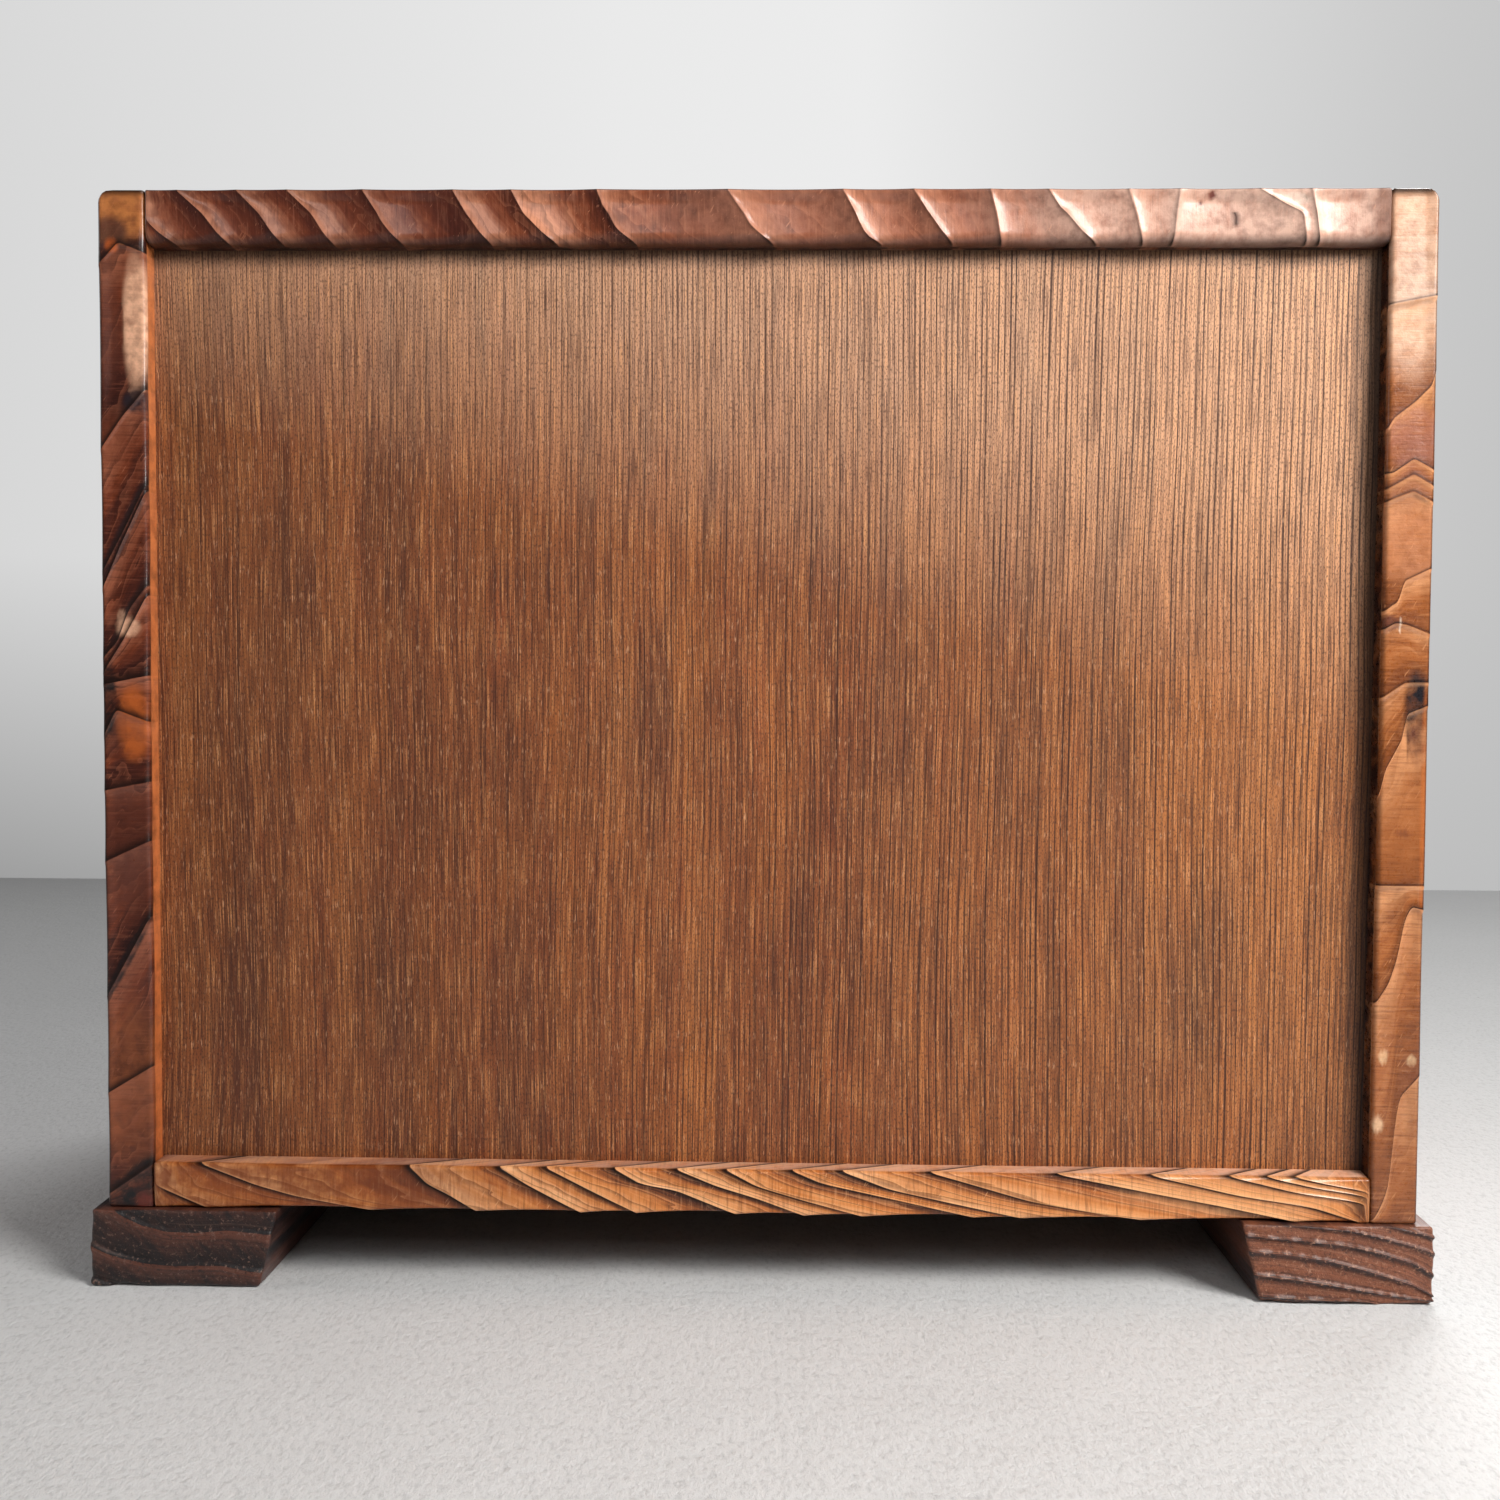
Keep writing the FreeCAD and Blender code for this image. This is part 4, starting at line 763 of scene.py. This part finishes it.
def skid(name, node, side, rings, seed, material):
    """A runner with hewn, weathered ends: late wood stands proud of the early wood between."""
    low, high = box_mm(node)
    wide, foot, length, tall = 61, 55, 256, 25
    points, faces = block((wide, length, tall), (90, 90, 40), 1.2)
    across, y, level = points.T
    rear = y > length / 2
    to_end = np.where(rear, length - y, y)
    phase = np.where(rear, ring_phase(rings, across, level),
                     ring_phase(rings, wide - across, level * 0.9 + 1))
    share = phase - np.floor(phase)
    early = 1 - np.clip(np.exp(-((share - 0.93) / 0.16) ** 2) + np.exp(-(share / 0.05) ** 2), 0, 1)
    rough = 0.5 + 0.5 * wander(seed, across * 0.4, level * 0.7)
    worn = (1.1 * early * (0.7 + 0.3 * rough) + 0.3 * rough) * smooth_step(1 - to_end / 3.5)
    ragged = (0.3 * early + 0.3 * rough) * smooth_step(1 - to_end / 22)
    ragged = ragged + 0.12 * (1 + wander(seed + 3, y * 0.05, level * 0.4))
    at_outer, at_inner = smooth_step(1 - across / 4), smooth_step(1 - (wide - across) / 4)
    across = across + ragged * at_outer - ragged * 0.5 * at_inner
    low_edge = smooth_step(1 - level / 3) * smooth_step(1 - to_end / 8)
    z = level + 0.35 * low_edge * (1 + wander(seed + 7, across * 0.5))
    across = across * (foot + (wide - foot) * z / tall) / wide
    x = high[0] - across if side > 0 else low[0] + across
    y = low[1] + np.where(rear, y - worn, y + worn)
    if side > 0:
        faces = [face[::-1] for face in faces]
    add_piece(name, np.stack([x, y, z], 1), faces, "case", material, "skid_cedar", node,
              phase=phase, edge=smooth_step(1 - (to_end - 0.4) / 1.2))


def skids():
    dark = skid_paint("skid_dark", (18, 10, 12), (102, 56, 40), (122, 92, 80),
                      ((0.0, 0.0), (0.3, 0.08), (0.6, 0.35), (0.86, 0.95), (1.0, 0.7)))
    warm = skid_paint("skid_warm", (42, 24, 24), (134, 78, 52), (172, 126, 100),
                      ((0.0, 0.8), (0.1, 0.6), (0.35, 0.95), (0.66, 0.7), (0.86, 0.05), (0.96, 0.1),
                       (1.0, 1.0)))
    skid("right_skid_worn", "right_skid", 1, RIGHT_SKID_RINGS, 71, dark)
    skid("left_skid_worn", "left_skid", -1, LEFT_SKID_RINGS, 81, warm)


skids()


# ---- back panel

def veneer():
    """Lacquered veneer with fine upright lines, short pores and slow bands of gold, red and grey."""
    s = Shader("back_veneer", Coat_Weight=0.45, Coat_Roughness=0.45, Specular_IOR_Level=0.15)
    side, _, z = s.split(s.place())
    bend = s.noise(s.join(s.mul(side, 9.0), 0.0, s.mul(z, 3.4)), 2, 0.5)
    x = s.mul_add(bend, 0.012, side)

    def streaks(across, run, detail, rough=0.5, shift=0.0):
        """Noise stretched along the grain. The shift takes it from another part of the pattern."""
        return s.noise(s.join(s.mul(x, across), shift, s.mul(z, run)), detail, rough)

    lines, seams = streaks(1500, 15, 2, 0.55), streaks(3000, 55, 1.5, 0.5, 2.0)
    bands, broad = streaks(420, 14, 2), streaks(60, 3.0, 3, 0.55)
    glints, grit = streaks(2600, 240, 1, 0.5, 4.0), streaks(2500, 1000, 1, 0.5, 9.0)
    # Rows of dark pores, about 1.8 mm apart, run the panel's whole height.
    drift = s.mul(streaks(250, 1.5, 2, 0.5, 6.0), 9.0)
    rows = s.math("SINE", s.mul_add(x, 3500.0, drift))
    open_rows = s.ramp(streaks(500, 14, 1, 0.5, 15.0), (0.36, 0.3), (0.6, 1.0))
    fainter = s.ramp(s.add(side, 0.2), (0.14, 1.0), (0.34, 0.45))
    pores = s.mul(s.ramp(rows, (0.4, 0.0), (0.92, 0.92)), s.mul(open_rows, fainter))
    tone = s.mul_add(bands, 0.55, s.mul(broad, 0.45))
    wood = s.ramp(tone, (0.38, (116, 66, 39)), (0.5, (148, 86, 49)), (0.62, (178, 112, 65)))
    # Painted sheen near the panel's photographed upper right corner, and painted shade low down on the left.
    painted_sheen = s.mul_add(side, -1.0, s.mul_add(z, 3.6, -0.4))
    shaded = s.mul_add(side, 1.6, s.mul_add(z, -0.4, 0.2))
    wood = s.lay(wood, (streaks(55.0, 9.0, 3, 0.6, 3.0), (184, 112, 52), (0.5, 0.0), (0.75, 0.5)),
                 (streaks(38.0, 7.0, 3, 0.6, 8.0), (96, 62, 48), (0.5, 0.0), (0.74, 0.55)),
                 (streaks(70.0, 12.0, 3, 0.6, 13.0), (156, 76, 44), (0.52, 0.0), (0.76, 0.4)),
                 (shaded, (66, 34, 20), (0.2, 0.0), (0.45, 0.38)),
                 (painted_sheen, (244, 200, 168), (0.42, 0.0), (0.7, 0.52), (0.92, 0.6)),
                 # Painted light: warmer and lighter towards the photographed right.
                 (s.mul(side, -1.0), (236, 170, 104), (0.02, 0.0), (0.19, 0.2)),
                 (seams, (230, 168, 114), (0.55, 0.0), (0.67, 0.5)),
                 (lines, (62, 32, 24), (0.4, 0.4), (0.47, 0.0)),
                 (seams, (70, 38, 26), (0.36, 0.6), (0.46, 0.0)))
    wood = s.mix(pores, wood, (56, 28, 20))
    wood = s.lay(wood, (glints, (236, 190, 156), (0.62, 0.0), (0.74, 0.5)))
    # Painted shade: warmer and darker low down.
    wood = s.lay(wood, (z, (255, 230, 192), (0.04, 0.5), (0.25, 0.25)), how="MULTIPLY")
    wood = s.lay(wood, (grit, (60, 34, 26), (0.34, 0.6), (0.5, 0.0)))
    # Painted shadow along the panel's upper edge, under the top board, and beside the photographed right
    # board.
    painted_shade = s.math("MAXIMUM", s.ramp(s.add(side, 0.195), (0.001, 0.92), (0.009, 0.0)),
                    s.ramp(s.math("SUBTRACT", 0.335, z), (0.002, 0.97), (0.006, 0.0)))
    height = s.mul_add(pores, -0.4, s.mul_add(lines, 0.4, s.mul(seams, 0.4)))
    wood = s.mix(painted_shade, wood, (24, 12, 10))
    return s.finish(wood, s.ramp(seams, (0.3, 0.6), (0.7, 0.46)), height, 0.0003, 0.9)


# ---- shelves, doors and drawers

def dress(node, material, width):
    """Give a machined piece its material, and break its edges a little without touching its mesh."""
    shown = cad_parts[node]
    shown.data.materials.clear()
    shown.data.materials.append(material)
    weld = shown.modifiers.new("weld", "WELD")
    weld.merge_threshold = 1e-5
    bevel = shown.modifiers.new("edges", "BEVEL")
    bevel.width, bevel.segments, bevel.limit_method = width * MM, 2, "ANGLE"
    bevel.angle_limit = math.radians(35)
    bevel.harden_normals = False


def joinery():
    door = (128, 76, 48), (96, 54, 36), (58, 30, 22)
    case = (156, 100, 66), (126, 76, 50), (78, 42, 30)
    raw = dict(gloss=0.55, coat=0.02, relief=0.0001)
    frame_x = cedar("door_rail_wood", "X", door, ring=0.0035)
    frame_z = cedar("door_stile_wood", "Z", door, ring=0.0035)
    panel = cedar("door_panel_wood", "Z", ((190, 134, 88), (166, 110, 70), (112, 66, 42)), ring=0.003,
                  pith=(0.12, 0.06, 0.0))
    case_x = cedar("shelf_wood", "X", case, ring=0.005)
    case_z = cedar("partition_wood", "Z", case, ring=0.005)
    box_y = cedar("drawer_side_wood", "Y", ((216, 186, 146), (200, 166, 126), (168, 132, 96)), ring=0.005,
                  pith=(-0.06, 0.0, -0.16), **raw)
    box_x = cedar("drawer_back_wood", "X", ((216, 186, 146), (200, 166, 126), (164, 128, 92)), ring=0.006,
                  **raw)
    dress("back_panel", veneer(), 0.2)
    for node in ("middle_shelf", "lower_drawer_shelf", "upper_drawer_shelf"):
        dress(node, case_x, 0.6)
    dress("upper_partition", case_z, 0.6)
    for node in ("case_dowels", "skid_dowels"):
        dress(node, box_x, 0.3)
    for side in ("left_door", "right_door"):
        for part in ("bottom_rail", "top_rail"):
            dress(f"{side}_{part}", frame_x, 0.45)
        for part in ("left_stile", "right_stile", "lattice_bars"):
            dress(f"{side}_{part}", frame_z, 0.45)
        dress(f"{side}_panel", panel, 0.2)
    # Each drawer's front is cut from another board: its pith lies at another height.
    for drawer, pith in (("lower", -0.158), ("middle", -0.246), ("upper", -0.318), ("wide", -0.08)):
        front = cedar(f"{drawer}_drawer_front_wood", "X", ((176, 112, 70), (146, 86, 54), (88, 46, 30)),
                      ring=0.0055, pith=(0.0, 0.22, pith))
        dress(f"{drawer}_drawer_front", front, 0.9)
        for part in ("left_side", "right_side", "floor"):
            dress(f"{drawer}_drawer_{part}", box_y, 0.3)
        dress(f"{drawer}_drawer_back", box_x, 0.3)


joinery()


# ---- iron and bronze

def metal(name, dark, worn, rust, metallic, rough, dents):
    """Hand-worked metal: dark skin, worn high spots and a little brown bloom."""
    s = Shader(name, Metallic=metallic, Specular_IOR_Level=0.5)
    place = s.place()
    hammer = s.node("TexVoronoi", {"Vector": place, "Scale": dents}, feature="SMOOTH_F1").outputs["Distance"]
    bloom = s.spots(place, 420, 4, 0.65)
    skin = s.lay(dark, (bloom, rust, (0.45, 0.0), (0.7, 0.55)), (hammer, worn, (0.3, 0.0), (0.75, 0.45)))
    height = s.add(s.mul(hammer, 0.8), s.mul(s.spots(place, 2200, 3, 0.6), 0.12))
    return s.finish(skin, s.ramp(bloom, (0.3, rough - 0.08), (0.7, rough + 0.14)), height, 0.0003, 0.6)


def tube(count, sides, start=0, flip=False):
    """The faces of a tube through rings of points, with a cap at each end. Flip turns every face over."""
    faces = []
    for first in range(start, start + (count - 1) * sides, sides):
        for k in range(sides):
            a, b = first + k, first + (k + 1) % sides
            faces.append((a, b, b + sides, a + sides) if flip else (a, a + sides, b + sides, b))
    last = start + count * sides
    caps = tuple(range(start, start + sides)), tuple(range(last - 1, last - sides - 1, -1))
    return faces + [cap[::-1] if flip else cap for cap in caps]


def bail_line():
    """The handle's middle line in its own plane, from pin to pin, with each point's half thickness."""
    outer, drop, turn, small = 22.5, -19.0, 3.6, 1.5
    line = [(x, 0.0, 1.42) for x in (-15.5, -17.0, -19.0, -20.6)]
    for step in range(1, 7):
        a = math.radians(15 * step)
        line.append((-outer + small - small * math.sin(a), -small + small * math.cos(a), 1.42))
    for z in np.linspace(-2.4, drop + turn, 8):
        line.append((-outer + 0.25 * math.sin((z + 2) / 13 * math.pi), z, 1.34))
    for step in range(1, 9):
        a = math.radians(90 * step / 8)
        line.append((-outer + turn - turn * math.cos(a), drop + turn - turn * math.sin(a), 1.4))
    for x in np.linspace(-17.0, 0, 13):
        swell = smooth_step(1 - abs(x) / 17)
        line.append((x, drop - 0.35 * swell, 1.42 + 0.5 * swell))
    return line + [(-x, z, half) for x, z, half in reversed(line[:-1])]


def bail(name, node, body, material):
    """A forged bail: square rod with softened corners, thicker at the grip."""
    low, high = box_mm(node)
    centre = np.array([(low[0] + high[0]) / 2, (low[1] + high[1]) / 2, high[2] - 1.5])
    line, points, sides = np.array(bail_line()), [], 20
    for index, (x, z, half) in enumerate(line):
        way = line[min(index + 1, len(line) - 1), :2] - line[max(index - 1, 0), :2]
        way /= np.linalg.norm(way)
        square = 0.42 if abs(x) > 20 or abs(z) > 3 else 0.95
        end = 0.55 if index in (0, len(line) - 1) else 1.0
        for k in range(sides):
            a = 2 * math.pi * k / sides
            c, d = math.cos(a), math.sin(a)
            worn = end * (1 - abs(0.05 * wander(7, index * 0.9, a * 1.5)))
            u = math.copysign(abs(c) ** square, c) * half * worn
            v = math.copysign(abs(d) ** square, d) * min(half, 1.48) * worn
            points.append(centre + (x + way[1] * u, v, z - way[0] * u))
    add_piece(name, points, tube(len(line), sides), body, material, "black_iron", node, sharp=50)


def posts(name, node, body, material):
    """Two eight-sided washers, domed by the hammer, each with a rounded lug for the bail's pin."""
    low, high = box_mm(node)
    middle, wall, level = (low[0] + high[0]) / 2, high[1], (low[2] + high[2]) / 2
    points, faces, sides = [], [], 64
    rings = ((0.0, 1.0), (0.45, 1.0), (0.8, 0.965), (1.0, 0.9), (1.15, 0.74), (1.35, 0.56), (1.6, 0.42),
             (1.7, 0.2))
    for x in (middle - 18, middle + 18):
        faces += tube(len(rings), sides, len(points), flip=True)
        for out, share in rings:
            for k in range(sides):
                a = 2 * math.pi * k / sides
                turn = (a + math.pi / 8) % (math.pi / 4) - math.pi / 8
                radius = min(5.5 / math.cos(turn), 5.85) * share
                points.append((x + radius * math.cos(a), wall - out, level + radius * math.sin(a)))
        lug, lug_faces = block((4, 6.4, 5.6), (6, 14, 10), 0.7)
        faces += [[index + len(points) for index in face] for face in lug_faces]
        past = np.clip((2.9 - lug[:, 1]) / 2.9, 0, 0.985)
        thin = 1 - 0.14 * smooth_step((lug[:, 1] - 3) / 3)
        z = (lug[:, 2] - 2.8) * np.sqrt(1 - past ** 2)
        points += list(np.stack([x + (lug[:, 0] - 2) * thin, wall - 7.3 + lug[:, 1], level + z * thin], 1))
    add_piece(name, points, faces, body, material, "black_iron", node, sharp=35)


def hardware():
    iron = metal("black_iron", (38, 35, 34), (92, 86, 80), (66, 46, 36), 0.75, 0.42, 520)
    bronze = metal("dark_bronze", (62, 44, 30), (146, 112, 74), (44, 38, 32), 0.85, 0.36, 700)
    handles = (("lower_drawer", "", "lower_bail"), ("middle_drawer", "", "middle_bail"),
               ("upper_drawer", "", "upper_bail"), ("wide_drawer", "left_", "wide_left_bail"),
               ("wide_drawer", "right_", "wide_right_bail"))
    for drawer, side, body in handles:
        bail(f"{drawer}_{side}forged_bail", f"{drawer}_{side}bail", body, iron)
        posts(f"{drawer}_{side}forged_posts", f"{drawer}_{side}posts", drawer, iron)
    for door in ("left_door", "right_door"):
        dress(f"{door}_finger_pull", bronze, 0.15)


hardware()


# ---- stage and light

FLOOR_BACK, FLOOR_NEAR, FLOOR_SIDE = -0.893, 1.0, 1.6       # the floor meets the room's far wall at its back


def ground():
    """A plain plaster floor: a little uneven, with a few specks, and painted shade that dims it towards the
    wall.
    """
    s = Shader("pale_floor", Specular_IOR_Level=0.15)
    place = s.place()
    grain, swell = s.spots(place, 260, 4, 0.7), s.spots(place, 38, 3, 0.6)
    trowel = s.spots(place, (520, 300, 300), 3, 0.7)
    speck = s.node("TexVoronoi", {"Vector": place, "Scale": 30.0, "Randomness": 1.0}).outputs["Distance"]
    dimmer = s.mul_add(s.split(place)[1], 0.8, 0.8)
    tone = s.ramp(s.spots(place, 2.6, 4, 0.6, 0.4), (0.3, (212,) * 3), (0.7, (224,) * 3))
    tone = s.lay(tone, (speck, (120,) * 3, (0.012, 0.6), (0.035, 0.0)),
                 (trowel, (150,) * 3, (0.34, 0.26), (0.5, 0.0)),
                 (grain, (140,) * 3, (0.3, 0.24), (0.42, 0.0)),
                 (dimmer, (140,) * 3, (0.1, 0.9), (0.98, 0.0)))
    height = s.add(s.mul(trowel, 0.5), s.mul_add(grain, 0.4, swell))
    mesh = bpy.data.meshes.new("floor")
    mesh.from_pydata([(-FLOOR_SIDE, FLOOR_BACK, 0), (FLOOR_SIDE, FLOOR_BACK, 0), (FLOOR_SIDE, FLOOR_NEAR, 0),
                      (-FLOOR_SIDE, FLOOR_NEAR, 0)], [], [(0, 1, 2, 3)])
    mesh.materials.append(s.finish(tone, 0.8, height, 0.0015, 0.7))
    floor = link("floor", mesh)


def room():
    """Soft ambient light, and a pale wall that only the camera sees: painted light, brightest above the
    cabinet's middle.
    """
    SCENE.world = bpy.data.worlds.new("room")
    SCENE.world.use_nodes = True
    s = Nodes(SCENE.world.node_tree)
    x, y, z = s.split(s.node("TexCoord").outputs["Generated"])

    def greys(way, *stops):
        """Greys by a part of the direction, which goes from -1 to 1."""
        return s.ramp(s.mul_add(way, 0.5, 0.5), *((at / 2 + 0.5, (grey,) * 3) for at, grey in stops))

    # Painted light on the wall, brightest above the cabinet's middle, and painted shade along its foot.
    wall = greys(x, (-0.5, 190), (-0.36, 202), (-0.05, 236), (0.1, 234), (0.5, 213))
    foot = greys(x, (-0.5, 188), (-0.2, 192), (0.2, 180), (0.5, 148))
    photographed = s.mix(greys(z, (-0.13, 0), (0.08, 255)), foot, wall)
    around = s.mix(greys(y, (-0.7, 0), (-0.3, 255)), photographed, (228,) * 3)
    light = s.node("Background", {"Color": (1, 1, 1, 1), "Strength": 0.075}).outputs[0]
    seen = s.node("Background", {"Color": around}).outputs[0]
    share = s.node("LightPath").outputs["Is Camera Ray"]
    s.node("OutputWorld", s.node("MixShader", (share, light, seen)).outputs[:1])


def lamp(name, at, aim, size, power, colour=(1, 1, 1)):
    """A square soft light that faces a point."""
    data = bpy.data.lights.new(name, "AREA")
    data.size, data.energy, data.color = size, power, colour
    placed = link(name, data)
    placed.location = at
    placed.rotation_mode = "QUATERNION"
    placed.rotation_quaternion = (Vector(aim) - Vector(at)).to_track_quat("-Z", "Y")


ground()
room()
lamp("key", (-0.62, 0.62, 0.74), (-0.05, 0.12, 0.2), 0.4, 12, (1, 0.985, 0.96))
lamp("rear_fill", (0.0, 1.4, 1.1), (0, 0.12, 0.15), 0.6, 3.5)
lamp("side_fill", (1.7, 0.2, 1.0), (0.2, 0.0, 0.2), 0.8, 7)
lamp("front_fill", (-1.0, -2.2, 1.7), (0, -0.1, 0.15), 1.3, 56)
